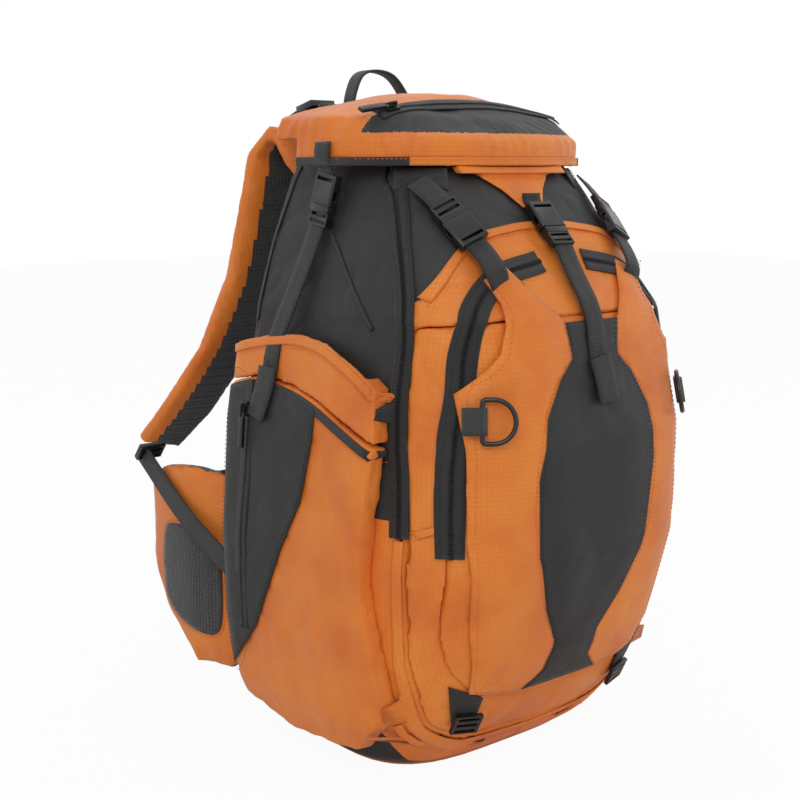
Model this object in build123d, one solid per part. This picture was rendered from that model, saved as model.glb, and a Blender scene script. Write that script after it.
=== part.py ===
"""Hiking backpack: hollow bag, pockets, Y-shaped flap, harness, hinged lid and release buckles.

Frame, in millimetres: x to the pack's own right seen from the front, front at -y, wearer at +y,
z up, origin on the flat face under the base.
"""
from build123d import *
import math
import os

# ---- driving sizes: bag -------------------------------------------------------------------
bag_height = 540.0            # base to the mouth of the main compartment
bag_width = 340.0             # widest place
bag_reach = 196.0             # furthest front from the middle plane
back_plane = 95.0             # wearer's face of the back panel
back_lean = 10.0              # how far the back comes forward at the mouth
lean_start = 420.0            # height where that lean starts
side_turn = 10.0              # y where the straight sides turn into the round front
front_power = 3.5             # squareness of the round front
corner_radius = 22.0          # upright corners at the back
wall = 5.0                    # padded fabric wall
back_wall = 14.0              # foam back panel
zip_line_step = 5.0           # thickness of the wall behind the middle compartment
pocket_back = -146.0          # y where the front pocket starts

# share of height, share of half width, share of front reach
bag_rows = [
    (0.000, 0.706, 0.434),
    (0.028, 0.824, 0.536),
    (0.111, 0.941, 0.714),
    (0.222, 0.988, 0.857),
    (0.370, 1.000, 0.969),
    (0.556, 0.959, 1.000),
    (0.741, 0.871, 0.913),
    (0.852, 0.776, 0.689),
    (0.944, 0.676, 0.459),
    (1.000, 0.588, 0.306),
]

# ---- driving sizes: lid -------------------------------------------------------------------
lid_gap = 2.0                 # lid underside above the mouth
lid_thick = 42.0              # crown above the underside
lid_half_width = 135.0
lid_front = -92.0
lid_back = 78.7
lid_skirt = 22.0              # how far the side skirt hangs below the underside
skirt_wall = 4.0
hinge_y = 74.0
hinge_rise = 30.0             # hinge line above the lid's underside
tongue_tip_drop = 44.0        # tip of the front tongue below its root
tongue_half_tip = 12.0
tongue_half_root = 62.0
tongue_thick = 2.5
tongue_root_reach = 11.0      # tongue's root fills the gap to the skirt

# ---- driving sizes: webbing and buckles --------------------------------------------------------
webbing = 20.0                # webbing width
webbing_thick = 1.6
strap_foot = 2.2              # folded end of a strap
wide_webbing = 25.0           # waist webbing
buckle_width = 27.0
buckle_length = 26.0          # housing
buckle_thick = 9.0
plug_depth = 14.0             # prongs inside the housing
plug_clear = 0.4
lock_length = 18.0            # ladder lock at the plug's tail
bar = 3.0                     # bars of every ladder lock
seat_gap = 0.3                # between pieces on different bodies

# ---- driving sizes: flap, pockets, hardware -----------------------------------------------------
zip_proud = 1.5
zip_width = 17.0
flap_thick = 2.5
pocket_bulge = 16.0
pull_rise = 4.9               # crossbar of a pull above the zip
ring_rod = 4.0
ring_height = 34.0
ring_depth = 26.0

# ---- driving sizes: harness ---------------------------------------------------------------------
strap_thick = 15.0
strap_width = 62.0
pad_thick = 11.0
wing_thick = 20.0
wing_axis_x = -118.0
sheet_gap = 0.4
sheet_thick = 2.0
stay_thick = 3.0
yoke_rise = 36.0              # yoke above the mouth
handle_half = 36.0
handle_rise = 70.0            # top of the grab handle above the mouth


# ---- bag outline as formulas -------------------------------------------------------------------
def row_value(z, column):
    """Straight-line value between the rows of the bag's table."""
    share = min(max(z / bag_height, 0.0), 1.0)
    for low, high in zip(bag_rows, bag_rows[1:]):
        if share <= high[0]:
            t = (share - low[0]) / (high[0] - low[0])
            return low[column] + t * (high[column] - low[column])
    return bag_rows[-1][column]


def half_width(z):
    return row_value(z, 1) * bag_width / 2


def front_reach(z):
    return row_value(z, 2) * bag_reach


def back_y(z):
    lean = max(z - lean_start, 0.0) / (bag_height - lean_start)
    return back_plane - back_lean * lean


def front_y(x, z, proud=0.0):
    """Front surface of the bag at x and z, moved outwards by proud."""
    share = min(abs(x) / (half_width(z) + proud), 1.0)
    round_off = (1.0 - share ** front_power) ** (1.0 / front_power)
    return side_turn - (front_reach(z) + proud + side_turn) * round_off


def bag_section(z, inset):
    """Closed outline of the bag at height z, as a face."""
    w = half_width(z) - inset
    reach = front_reach(z) - inset
    back = back_y(z) - inset
    r = max(corner_radius - inset, 4.0)
    steps = 14
    points = []
    for i in range(steps + 1):
        angle = math.pi * (1 + i / steps)
        c = math.cos(angle)
        s = -math.sin(angle)
        x = w * math.copysign(abs(c) ** (2 / front_power), c)
        y = side_turn - (reach + side_turn) * round(max(s, 0.0), 9) ** (2 / front_power)
        points.append((x, y))
    front = Spline(points)
    right = Line((w, side_turn), (w, back - r))
    corner_right = RadiusArc((w, back - r), (w - r, back), -r)
    rear = Line((w - r, back), (-w + r, back))
    corner_left = RadiusArc((-w + r, back), (-w, back - r), -r)
    left = Line((-w, back - r), (-w, side_turn))
    return Plane.XY.offset(z) * make_face([front, right, corner_right, rear, corner_left, left])


def bag_solid(inset=0.0, low=0.0):
    """The bag's outer form drawn in by inset, from height low to the mouth."""
    heights = [row[0] * bag_height for row in bag_rows if row[0] * bag_height > low + 1]
    return loft([bag_section(z, inset) for z in [low] + heights], ruled=True)


# ---- helpers ---------------------------------------------------------------------------------------
def side_prism(points, low_x=-400.0, high_x=400.0):
    """Outline in the y-z plane, drawn out along x."""
    face = make_face(Polyline([(0, y, z) for y, z in points], close=True))
    return Pos(low_x, 0, 0) * extrude(face, high_x - low_x, dir=(1, 0, 0))


def front_prism(points, low_y=-400.0, high_y=0.0):
    """Outline in the x-z plane, drawn out along y."""
    face = make_face(Polyline([(x, 0, z) for x, z in points], close=True))
    return Pos(0, low_y, 0) * extrude(face, high_y - low_y, dir=(0, 1, 0))


def mirrored(points):
    """A left-hand outline closed with its right-hand copy."""
    return points + [(-x, z) for x, z in reversed(points)]


def block(low, high):
    size = [b - a for a, b in zip(low, high)]
    centre = [(a + b) / 2 for a, b in zip(low, high)]
    return Pos(*centre) * Box(*size)


def solids_over(shape, least=1.0):
    """The shape's solids, without slivers."""
    return [s for s in shape.solids() if s.volume > least]


def largest(shape):
    return max(shape.solids(), key=lambda s: s.volume)


def right_of(piece):
    return mirror(piece, about=Plane.YZ)


def strap_plane(origin, along, out):
    """Plane with y along the strap, z out of the surface and x across it."""
    along = Vector(*along).normalized()
    out = Vector(*out)
    across = along.cross(out).normalized()
    return Plane(origin=origin, x_dir=across, z_dir=across.cross(along))


# ---- bag -------------------------------------------------------------------------------------------
outer = bag_solid()
zip_rows = [(-112, 0), (-124, 227), (-122, 283), (-115, 338), (-112, 393), (-92, 446)]
zip_top = [(-67, 493), (-50, 509), (-38, bag_height)]
zip_line = zip_rows + zip_top


def behind(points, far=300.0):
    """Closed outline of everything behind a y-z line."""
    top = (far, points[-1][1] + 20)
    over = (points[-1][0], points[-1][1] + 20)
    return points + [over, top, (far, points[0][1])]


main_cut = [(y - zip_line_step, z) for y, z in zip_rows[:-1]] + [(-360, 425), (-360, bag_height)]
main_part = outer & side_prism(behind(main_cut))
cavity_line = [(y, z) for y, z in zip_rows[:-1]] + [(-150, 430), (-150, bag_height)]
cavity = bag_solid(wall, 6.0) & side_prism(behind(cavity_line))
cavity = cavity & side_prism([(-300, 6), (back_plane - back_wall, 6), (back_plane - back_wall, lean_start),
                              (back_plane - back_wall - back_lean, bag_height), (-300, bag_height)])
shell = main_part - cavity
inner_back = back_plane - back_wall
rear_region = side_prism([(inner_back, -10), (inner_back, lean_start), (inner_back - back_lean, bag_height),
                          (300, bag_height), (300, -10)])
floor_region = block((-400, -400, -1), (400, 400, 6))

mid_top = [(-400, 0), (-400, 396), (-127, 416), (-115, 430), (-96, 450), (-75, 463), (0, 472)]
mid_region = front_prism(mid_top + [(-x, z) for x, z in reversed(mid_top[:-1])])
front_block = outer - main_part

arch = [(-133, 60), (-133, 263), (-131, 303), (-123, 341), (-116, 379), (-103, 409), (-73, 433), (-26, 443)]
arch_region = front_prism(mirrored(arch), high_y=pocket_back)


def front_pocket():
    return front_block & arch_region


def mid_compartment():
    return (front_block - arch_region)


def side_panel():
    """Left wall of the main compartment, behind the main zip."""
    return (shell & side_prism(behind(zip_line), -400, 0)) - rear_region - floor_region


def upper_front_panel():
    return shell - side_prism(behind(zip_line)) - floor_region


def base_panel():
    return (shell & floor_region) - rear_region


def back_panel():
    """Foam back of the bag with the yoke standing above the mouth."""
    rear = shell & rear_region
    top_y = back_y(bag_height)
    yoke = block((-78, top_y - 7, bag_height - 1), (78, top_y, bag_height + yoke_rise))
    return rear + yoke


def lining_strip(near, thick, half, low, high, middle=0.0):
    """Upright strip that follows the back panel's inner face at a distance."""
    y = inner_back - near
    lean = back_lean * (high - lean_start) / (bag_height - lean_start)
    line = [(y, low), (y, lean_start), (y - lean, high), (y - lean - thick, high), (y - thick, lean_start),
            (y - thick, low)]
    return side_prism(line, middle - half, middle + half)


def frame_sheet():
    return lining_strip(sheet_gap, sheet_thick, 100, 30, bag_height - 25)


def frame_stays():
    return [lining_strip(sheet_gap * 2 + sheet_thick, stay_thick, 10, 34, bag_height - 30, x) for x in (-50, 50)]


# ---- skins over the bag ----------------------------------------------------------------------------
def skin(low, high):
    """Layer over the bag between two distances from its surface."""
    return bag_solid(-high) - bag_solid(-low)


zip_layer = skin(0.0, zip_proud)
flap_layer = skin(zip_proud, zip_proud + flap_thick)


def shifted(points, step):
    return [(a + step, b) for a, b in points]


zip_run = [(y, z) for y, z in zip_line if 227 <= z < 510]
zip_band = side_prism(shifted(zip_run, -zip_width / 2) + list(reversed(shifted(zip_run, zip_width / 2))))


def main_zips():
    """Two upright zips, one each side, along the main opening."""
    both = zip_layer & zip_band
    left = largest(both & block((-400, -400, 0), (-60, 400, 900)))
    return [left, right_of(left)]


def pocket_zip():
    """Arched zip of the front pocket."""
    half = [(-133, 215), (-133, 263), (-131, 303), (-123, 341), (-116, 379), (-103, 409), (-73, 433), (-26, 443)]
    line = Polyline(mirrored(half))
    band = extrude(Plane.XZ * trace(line, zip_width), 400)
    return zip_layer & band


flap_edge = [(-66, 440), (-88, 430), (-84, 412), (-88, 394), (-95, 375), (-108, 361), (-126, 345),
             (-124, 230), (-114, 150), (-100, 92), (-60, 84)]
panel_edge = [(-31, 396), (-27, 367), (-42, 352), (-60, 322), (-69, 275), (-64, 209), (-45, 160), (-26, 127),
              (-28, 100), (-45, 84)]


def flap_panel():
    return flap_layer & front_prism(mirrored(panel_edge))


def front_flap():
    """Y-shaped flap with its centre left open for the panel."""
    left = [(-31, 396), (-54, 419)] + flap_edge + [(-45, 84)] + list(reversed(panel_edge[1:-1]))
    half = flap_layer & front_prism(left)
    return [half, right_of(half)]


# ---- side pockets -----------------------------------------------------------------------------------
pocket_edge = [(88, 40), (88, 331), (42, 341), (-5, 337), (-43, 327), (-110, 300), (-102, 240), (-101, 174),
               (-109, 133), (-112, 70), (-70, 30), (20, 22)]
band_edge = [(88, 333), (42, 343), (-5, 339), (-43, 329), (-112, 303), (-112, 342), (-81, 361), (-41, 377),
             (-6, 381), (30, 378), (66, 371), (88, 366)]
zip_panel_edge = [(86, 70), (86, 327), (42, 337), (-5, 333), (-41, 322), (-41, 297), (-29, 243), (-2, 194), (36, 120)]
slot_depth = 11.0             # open sleeve behind the upper band


def side_layer(low, high, edge):
    """Layer on the left side, kept off the main zip."""
    return (skin(low, high) & side_prism(edge, -400, -100)) - zip_band


def side_pocket():
    return side_layer(0.0, pocket_bulge, pocket_edge)


def side_pocket_panel():
    return side_layer(pocket_bulge, pocket_bulge + 1.5, zip_panel_edge)


def side_band():
    """Upper band: sewn down at its lower edge and ends, open above as a sleeve."""
    whole = side_layer(0.0, pocket_bulge, band_edge)
    sleeve_edge = [(60, 350), (-5, 354), (-60, 345), (-92, 335), (-92, 400), (60, 400)]
    sleeve = side_layer(-1.0, slot_depth, sleeve_edge)
    return whole - sleeve


# ---- zips with sliders ------------------------------------------------------------------------------
side_zip_low = 128.0
side_zip_high = 322.0
side_zip_travel = side_zip_high - side_zip_low - 16
side_zip_y = 48.0
side_zip_proud = pocket_bulge + 1.5
side_bow = 5.5                # how far the straight zip stands off at its ends


def side_x(z, proud):
    return -(half_width(z) + proud)


def side_frame():
    """Axis of the straight side zip: two points on the zip's outer face."""
    low = Vector(side_x(side_zip_low, side_zip_proud + side_bow), side_zip_y + 8, side_zip_low)
    high = Vector(side_x(side_zip_high, side_zip_proud + side_bow), side_zip_y, side_zip_high)
    return low, high


def side_zip():
    low, high = side_frame()
    along = high - low
    plane = strap_plane((low + high) * 0.5, along, (-1, 0, 0))
    tape = plane * Pos(0, 0, -6) * Box(zip_width, along.length, 12)
    return largest(tape - bag_solid(-side_zip_proud))


def slider_body(plane):
    """Zip slider with its bail, its underside just above the plane."""
    base = Pos(0, 0, seat_gap + 1.5) * Box(9, 13, 3)
    bail = Pos(0, 1, pull_rise) * Box(2.2, 8, 5.0)
    eye = Pos(0, 1, pull_rise) * Box(4, 3.4, 2.2)
    return plane * (base + bail - eye)


def pull_tab(plane, length=26.0):
    """Pull hung in the slider's bail: crossbar, two rails and a ribbed grip."""
    frame = Pos(0, -3.4, pull_rise) * (Box(6.4, 10.4, 1.4) - Box(3.4, 7.4, 1.6))
    grip = Pos(0, -8 - length / 2, pull_rise) * Box(6.0, length, 3.0)
    return plane * (frame + grip)


# ---- lid ---------------------------------------------------------------------------------------------
lid_low = bag_height + lid_gap
hinge_z = lid_low + hinge_rise
lid_top = lid_low + lid_thick


def lid_section(z, half, front, back):
    """Rounded lid outline at height z."""
    points = []
    steps = 10
    for i in range(steps + 1):
        angle = math.pi * (1 + i / steps)
        c = math.cos(angle)
        s = round(max(-math.sin(angle), 0.0), 9)
        points.append((half * math.copysign(abs(c) ** 0.8, c), 15 + (front - 15) * s ** 0.75))
    front_line = Spline(points)
    right = Line((half, 15), (half, back - 12))
    corner_right = RadiusArc((half, back - 12), (half - 12, back), -12)
    rear = Line((half - 12, back), (-half + 12, back))
    corner_left = RadiusArc((-half + 12, back), (-half, back - 12), -12)
    left = Line((-half, back - 12), (-half, 15))
    return Plane.XY.offset(z) * make_face([front_line, right, corner_right, rear, corner_left, left])


# height above the underside, drawn in at the sides, drawn in at the front, rear step
lid_rows = [(-lid_skirt, 0.0, 0.0, -1.0), (0.0, 0.0, 0.0, -1.0), (20.0, 6.0, 34.0, -1.0),
            (26.6, 25.0, 50.0, -10.0), (32.9, 50.0, 62.0, -20.0), (38.7, 84.0, 74.0, -38.0),
            (lid_thick, 108.0, 84.0, -48.0)]


def lid_form(rows=lid_rows):
    faces = [lid_section(lid_low + h, lid_half_width - drawn, lid_front + in_front, lid_back + rear)
             for h, drawn, in_front, rear in rows]
    return loft(faces, ruled=True)


def lid_shell():
    """Stuffed lid with a hanging side and front skirt, open below."""
    hem = lid_low - lid_skirt
    outside = lid_section(hem, lid_half_width, lid_front, lid_back - 1)
    inside = lid_section(hem, lid_half_width - skirt_wall, lid_front + skirt_wall, lid_back + 60)
    skirt = extrude(outside, lid_skirt) - extrude(inside, lid_skirt)
    return lid_form(lid_rows[1:]) + (skirt & block((-200, -200, hem - 1), (200, 40, lid_low + 1)))


lid_zip_y = -35.0
lid_zip_rise = 30.0           # zip's middle above the underside
lid_zip_radius = 577.0        # arc of the zip about a fore-and-aft axis
lid_zip_tilt = 29.0
lid_zip_half_angle = 10.6
lid_zip_axis = Axis((0, 0, lid_low + lid_zip_rise - lid_zip_radius), (0, 1, 0))


def on_lid_arc(angle, lift):
    """Place on the zip's arc: x across the zip, y along it to the right, z out of the lid."""
    centre = lid_low + lid_zip_rise - lid_zip_radius
    arc = Pos(0, 0, centre) * Rot(0, angle, 0) * Pos(0, lid_zip_y, lid_zip_radius)
    return arc * Rot(lid_zip_tilt, 0, 0) * Pos(0, 0, lift) * Rot(0, 0, -90)


def lid_zip():
    """Zip over the lid along an arc, from side to side."""
    face = on_lid_arc(-lid_zip_half_angle, -2.5) * (Plane.XZ * Rectangle(zip_width, 9))
    return largest(revolve(face, axis=lid_zip_axis, revolution_arc=2 * lid_zip_half_angle) - lid_form())


tongue_rows = [(0.0, tongue_half_root), (14.0, 46.0), (30.0, 24.0), (tongue_tip_drop, tongue_half_tip)]


def lid_tongue():
    """Front tongue that hangs from the lid over the upper front panel."""
    top = bag_height - 10
    edge = [(-half, top - drop) for drop, half in tongue_rows]
    low = seat_gap + 1.2
    hung = skin(low, low + tongue_thick) & front_prism(mirrored(edge))
    root_edge = [(-tongue_half_root, top - 16), (-tongue_half_root, top - 5)]
    root = skin(low + 0.6, tongue_root_reach) & front_prism(mirrored(root_edge))
    return largest(hung + root - lid_form())


# ---- side-release buckles ----------------------------------------------------------------------------
def housing(plane):
    """Buckle housing: mouth at the plane's origin, tail towards +y, with a webbing slot."""
    body = Pos(0, buckle_length / 2, 0) * Box(buckle_width, buckle_length, buckle_thick)
    body = fillet(body.edges().filter_by(Axis.Y), 2.0)
    deep = plug_depth + 2
    hole = Pos(0, deep / 2 - 0.5, 0) * Box(buckle_width - 6, deep + 1, buckle_thick - 4)
    window = Pos(0, 9, 0) * Box(buckle_width + 2, 7, buckle_thick - 5)
    slot = Pos(0, buckle_length - bar - 1.5, 0) * Box(webbing + 1, 3, buckle_thick + 2)
    return plane * (body - hole - window - slot)


def plug(plane):
    """Buckle plug: three prongs towards +y and a ladder lock towards -y."""
    prong_thick = buckle_thick - 4 - 2 * plug_clear
    inner = buckle_width - 6 - 2 * plug_clear
    pieces = Pos(0, -3 - seat_gap, 0) * Box(buckle_width - 2, 6, buckle_thick - 1)
    for x in (-inner / 2 + 1.6, 0, inner / 2 - 1.6):
        pieces += Pos(x, plug_depth / 2 - 1, 0) * Box(3.2, plug_depth + 1, prong_thick)
    tail = Pos(0, -lock_length / 2 - seat_gap, 0) * Box(buckle_width - 2, lock_length, buckle_thick - 3)
    for y in (-8.5, -14.5):
        tail -= Pos(0, y - seat_gap, 0) * Box(webbing + 1, 2.6, buckle_thick)
    return plane * (pieces + tail)


def buckle_pair(mouth, along, out):
    plane = strap_plane(mouth, along, out)
    return plane, housing(plane), plug(plane)


centre_mouth = Vector(0, front_y(0, 469, 10.0), 469)
centre_along = Vector(0, 0.69, 0.725)
centre_out = Vector(0, -0.725, 0.69)
side_mouth = Vector(-(half_width(488) + 10), 3, 488)
side_along = Vector(0.15, -0.17, 0.98)
side_out = Vector(-1, 0, 0.15)


def point_on(x, z, proud):
    return Vector(x, front_y(x, z, proud), z)


def normal_on(x, z):
    here = point_on(x, z, 0)
    along_x = point_on(x + 1, z, 0) - here
    along_z = point_on(x, z + 1, 0) - here
    return along_x.cross(along_z).normalized()


comp_low = point_on(-77, 434, 7.0)
comp_high = point_on(-99, 507, 6.0)
comp_mouth = point_on(-91, 478, 9.0)
comp_along = (point_on(-84, 456, 9.0) - point_on(-95, 496, 9.0)).normalized()
comp_out = normal_on(-91, 478)


def tail_point(plane, y, z=0.0):
    return plane.from_local_coords(Vector(0, y, z))


def straight_strap(start, end, out, width=webbing):
    """Straight strap between two points, its face square to out."""
    along = end - start
    plane = strap_plane((start + end) * 0.5, along, out)
    return plane * Box(width, along.length, webbing_thick)


centre_plane, centre_housing, centre_plug = buckle_pair(centre_mouth, centre_along, centre_out)
side_plane, side_housing, side_plug = buckle_pair(side_mouth, side_along, side_out)
comp_plane, comp_housing, comp_plug = buckle_pair(comp_mouth, comp_along, comp_out)


centre_strap_rows = [(446, 8.0), (428, 7.0), (408, 6.6), (392, 6.0), (376, 5.6), (362, 5.4)]


def centre_strap():
    """Strap from the centre buckle down to the flap panel."""
    start = tail_point(centre_plane, -lock_length - seat_gap * 2)
    points = [(start.Y, start.Z)] + [(front_y(0, z, proud), z) for z, proud in centre_strap_rows]
    side = Plane.YZ * trace(Polyline(points), webbing_thick)
    strap = extrude(side, webbing / 2, both=True)
    foot = skin(zip_proud + flap_thick, zip_proud + flap_thick + strap_foot) & front_prism([(-11, 350), (11, 350), (11, 390),
                                                                                   (-11, 390)])
    return (strap - bag_solid(-zip_proud - flap_thick)) + foot


def lid_tabs():
    """Short tabs that hold the three housings to the lid's tongue and skirt."""
    slot = buckle_length - bar - 1.5
    side_top = Vector(-lid_half_width + skirt_wall / 2, 3, lid_low - lid_skirt - 0.1)
    side_tab = largest(straight_strap(side_top, tail_point(side_plane, slot), (-1, 0, 0)) - side_housing - lid_solid)
    tip = point_on(0, bag_height - 10 - tongue_tip_drop + 6, seat_gap + 1.2 + tongue_thick + 1.0)
    middle = straight_strap(tip, tail_point(centre_plane, slot), centre_out) - centre_housing - tongue_solid
    return [side_tab, right_of(side_tab), largest(middle)]


def side_strap():
    """Strap from a side buckle down to the upper side band."""
    start = tail_point(side_plane, -lock_length - seat_gap * 2)
    end = Vector(side_x(372, pocket_bulge + 1), 26, 372)
    strap = straight_strap(start, end, (-1, 0, 0.1))
    foot = side_layer(pocket_bulge, pocket_bulge + 2.4, [(16, 340), (37, 340), (36, 376), (15, 376)])
    whole = strap - bag_solid(-pocket_bulge) + foot
    return whole - side_band_solid


def comp_strap():
    """Upper strap of a compression buckle, from the bag's top corner."""
    start = comp_high
    end = tail_point(comp_plane, -lock_length - seat_gap * 2)
    strap = straight_strap(start, end, comp_out)
    foot = skin(0, 7.6) & front_prism([(-111, 502), (-90, 502), (-90, 516), (-111, 516)])
    plug_room = comp_plane * Pos(0, -lock_length / 2, 0) * Box(buckle_width + 1, lock_length + 1, 14)
    return largest(strap + foot - plug_room - zip_band - outer)


def comp_tab():
    """Short tab that holds a compression housing to the flap's corner."""
    start = tail_point(comp_plane, buckle_length - bar - 1.5)
    end = comp_low + comp_along * 8
    strap = straight_strap(start, end, comp_out)
    foot = skin(zip_proud + flap_thick, 7.6) & front_prism([(-88, 418), (-66, 418), (-66, 438), (-88, 438)])
    return strap + foot - comp_housing


# ---- D-rings ------------------------------------------------------------------------------------------
ring_x = -119.0
ring_z = 326.0


def ring_plane():
    """Bar of the left D-ring along y, its bow towards the middle along -x."""
    out = normal_on(ring_x, ring_z)
    proud = zip_proud + flap_thick + ring_rod / 2 + 3.0
    origin = point_on(ring_x, ring_z, proud)
    along = Vector(0, 0, 1) - out * out.Z
    return strap_plane(origin, along, out)


def d_ring():
    """Rod bent to a D, its straight bar on the plane's y axis."""
    half = ring_height / 2
    outline = Pos((ring_depth - half) / 2, 0) * Rectangle(ring_depth - half, ring_height)
    outline += Pos(ring_depth - half, 0) * Circle(half)
    outline = outline & Pos(ring_height, 0) * Rectangle(2 * ring_height, 2 * ring_height)
    corners = outline.vertices().sort_by(Axis.X)[:2]
    path = fillet(corners, 3.0).faces()[0].outer_wire()
    start = Plane(origin=path @ 0, z_dir=path % 0)
    return ring_plane() * sweep(start * Circle(ring_rod / 2), path)


def ring_loop():
    """Webbing folded round the ring's bar and sewn at the flap's edge."""
    gap = ring_rod / 2 + seat_gap
    width = ring_height - ring_rod - 8
    round_bar = Cylinder(gap + webbing_thick, width) - Cylinder(gap, width + 2)
    round_bar = Rot(90, 0, 0) * round_bar
    tail = Pos(-7, 0, -gap - webbing_thick / 2) * Box(16, width, webbing_thick)
    whole = ring_plane() * (round_bar + tail)
    plane = ring_plane()
    foot = plane * Pos(-10, 0, -gap - 4.2) * Box(9, width, 7)
    return (whole + foot) - bag_solid(-zip_proud - flap_thick)


# ---- bottom corners -----------------------------------------------------------------------------------
def bottom_tab():
    """Triangular webbing tab at a front bottom corner."""
    return skin(0, 2.2) & front_prism([(-118, 100), (-84, 84), (-84, 64), (-104, 60)])


def bottom_lock():
    """Ladder lock hung from a bottom tab."""
    out = normal_on(-94, 60)
    plane = strap_plane(point_on(-94, 60, 4.7), (0, 0.5, -1), out)
    frame = Box(26, 20, 4)
    for y in (-6.0, 0.5, 7.0):
        frame -= Pos(0, y, 0) * Box(20, 3.2, 6)
    return plane * frame - bag_solid(-2.4)


# ---- harness ------------------------------------------------------------------------------------------
strap_path = [(-60, back_plane - 4, 500), (-64, 118, 532), (-74, 138, 552), (-78, 152, 528), (-84, 164, 470),
              (-92, 176, 410), (-112, 196, 340), (-134, 228, 286), (-150, 262, 246)]


def tangent_at(points, i):
    before = Vector(*points[max(i - 1, 0)])
    after = Vector(*points[min(i + 1, len(points) - 1)])
    return (after - before).normalized()


def shoulder_strap():
    """Padded strap lofted through rectangles along its path."""
    faces = []
    for i, point in enumerate(strap_path):
        along = tangent_at(strap_path, i)
        side = Vector(1, 0, 0) - along * along.X
        width = strap_width * (0.86 if i in (0, 8) else 1.0)
        plane = Plane(origin=point, x_dir=side, z_dir=along)
        faces.append(plane * RectangleRounded(width, strap_thick, 5))
    return loft(faces, ruled=True) - back_block


back_block = block((-200, -200, -10), (200, back_plane, 700)) & side_prism(
    [(-200, -10), (back_plane, -10), (back_plane, lean_start), (back_plane - back_lean, bag_height),
     (back_plane - back_lean, 700), (-200, 700)])


def load_lifter():
    """Webbing from the yoke to the crest of a shoulder strap."""
    yoke_back = back_y(bag_height)
    low = Vector(-66, yoke_back - 1, bag_height + 22)
    rise = Vector(-66, yoke_back + 10, bag_height + 30)
    crest = Vector(-70, 133, 565)
    side = Plane.YZ * trace(Polyline([(low.Y, low.Z), (rise.Y, rise.Z), (crest.Y, crest.Z - 2)]), webbing_thick)
    strap = Pos(-67, 0, 0) * extrude(side, webbing / 2, both=True)
    return strap - shoulder_solid - back_solid


def lifter_buckle():
    """Ladder lock on the load-lifter webbing, above the yoke."""
    yoke_back = back_y(bag_height)
    plane = strap_plane((-67, yoke_back + 12, bag_height + 34), (0, 1, -0.25), (0, 0.25, 1))
    frame = Box(27, 24, 6)
    for y in (-7.0, 0.5, 8.0):
        frame -= Pos(0, y, 0) * Box(21, 3.4, 8)
    return plane * Pos(0, 4, 0.9) * frame


def adjuster():
    """Ladder lock at the lower end of a shoulder strap."""
    end = Vector(*strap_path[-1])
    along = tangent_at(strap_path, len(strap_path) - 1)
    plane = Plane(origin=end + along * 13.8, x_dir=(1, 0, 0), z_dir=along.cross(Vector(1, 0, 0)))
    frame = Box(28, 19, 6)
    for y in (-5.0, 4.0):
        frame -= Pos(0, y, 0) * Box(22, 3.4, 8)
    return plane * frame


def lower_webbing():
    """Webbing from the adjuster, outside the hip wing, down to the corner of the bag."""
    end = Vector(*strap_path[-1])
    along = tangent_at(strap_path, len(strap_path) - 1)
    start = end + along * 23 + Vector(-13, 0, 0)
    foot = Vector(-half_width(146) + 10, back_plane - 4, 146)
    return largest(straight_strap(start, foot, (-1, 0, 0.1)) - outer)


def back_pads():
    """Two upright foam pads and their middle channel."""
    pad = block((-82, back_plane + 0.0, 250), (-18, back_plane + pad_thick, 470))
    pad = fillet(pad.edges().filter_by(Axis.Y), 16)
    pad = pad - back_lean_cut
    return [pad, right_of(pad)]


back_lean_cut = side_prism([(back_plane + pad_thick + 1, lean_start), (back_plane + pad_thick + 1, 700), (-100, 700),
                            (back_plane - back_lean, 700), (back_plane, lean_start)])


def lumbar_pad():
    pad = block((-96, back_plane, 60), (96, back_plane + pad_thick, 225))
    return fillet(pad.edges().filter_by(Axis.Y), 18)


wing_axis_y = back_plane + wing_thick / 2 + seat_gap + 0.2
wing_path = [(wing_axis_x, wing_axis_y + 1), (-136, 146), (-147, 192), (-148, 238), (-138, 278), (-112, 308),
             (-76, 322)]
wing_low = [62, 36, 34, 74, 118, 140, 150]
wing_high = [222, 230, 234, 228, 214, 206, 200]


def hip_wing():
    """Padded wing with a round root about its hinge line."""
    faces = []
    for i, (x, y) in enumerate(wing_path):
        before = Vector(*wing_path[max(i - 1, 0)])
        after = Vector(*wing_path[min(i + 1, len(wing_path) - 1)])
        along = (after - before).normalized()
        height = wing_high[i] - wing_low[i]
        thick = wing_thick if i < 5 else wing_thick - 5
        plane = Plane(origin=(x, y, (wing_high[i] + wing_low[i]) / 2), x_dir=along.cross(Vector(0, 0, 1)),
                      z_dir=along)
        faces.append(plane * Rectangle(thick, height))
    root = Pos(wing_axis_x, wing_axis_y, (wing_low[0] + wing_high[0]) / 2) * Cylinder(
        wing_thick / 2, wing_high[0] - wing_low[0])
    return loft(faces, ruled=True) + root


waist_y = 322.0
waist_z = 177.0


def waist_webbing():
    """Left waist webbing, from the wing's end to the buckle."""
    end = -lock_length - 2 * seat_gap
    return block((-75.7, waist_y - 1, waist_z - wide_webbing / 2), (end, waist_y + 1, waist_z + wide_webbing / 2))


def waist_buckle():
    plane = strap_plane((0, waist_y, waist_z), (1, 0, 0), (0, 1, 0))
    return housing(plane), plug(plane)


def waist_webbing_right():
    start = buckle_length + seat_gap
    return block((start, waist_y - 1, waist_z - wide_webbing / 2), (75.7, waist_y + 1, waist_z + wide_webbing / 2))


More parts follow.
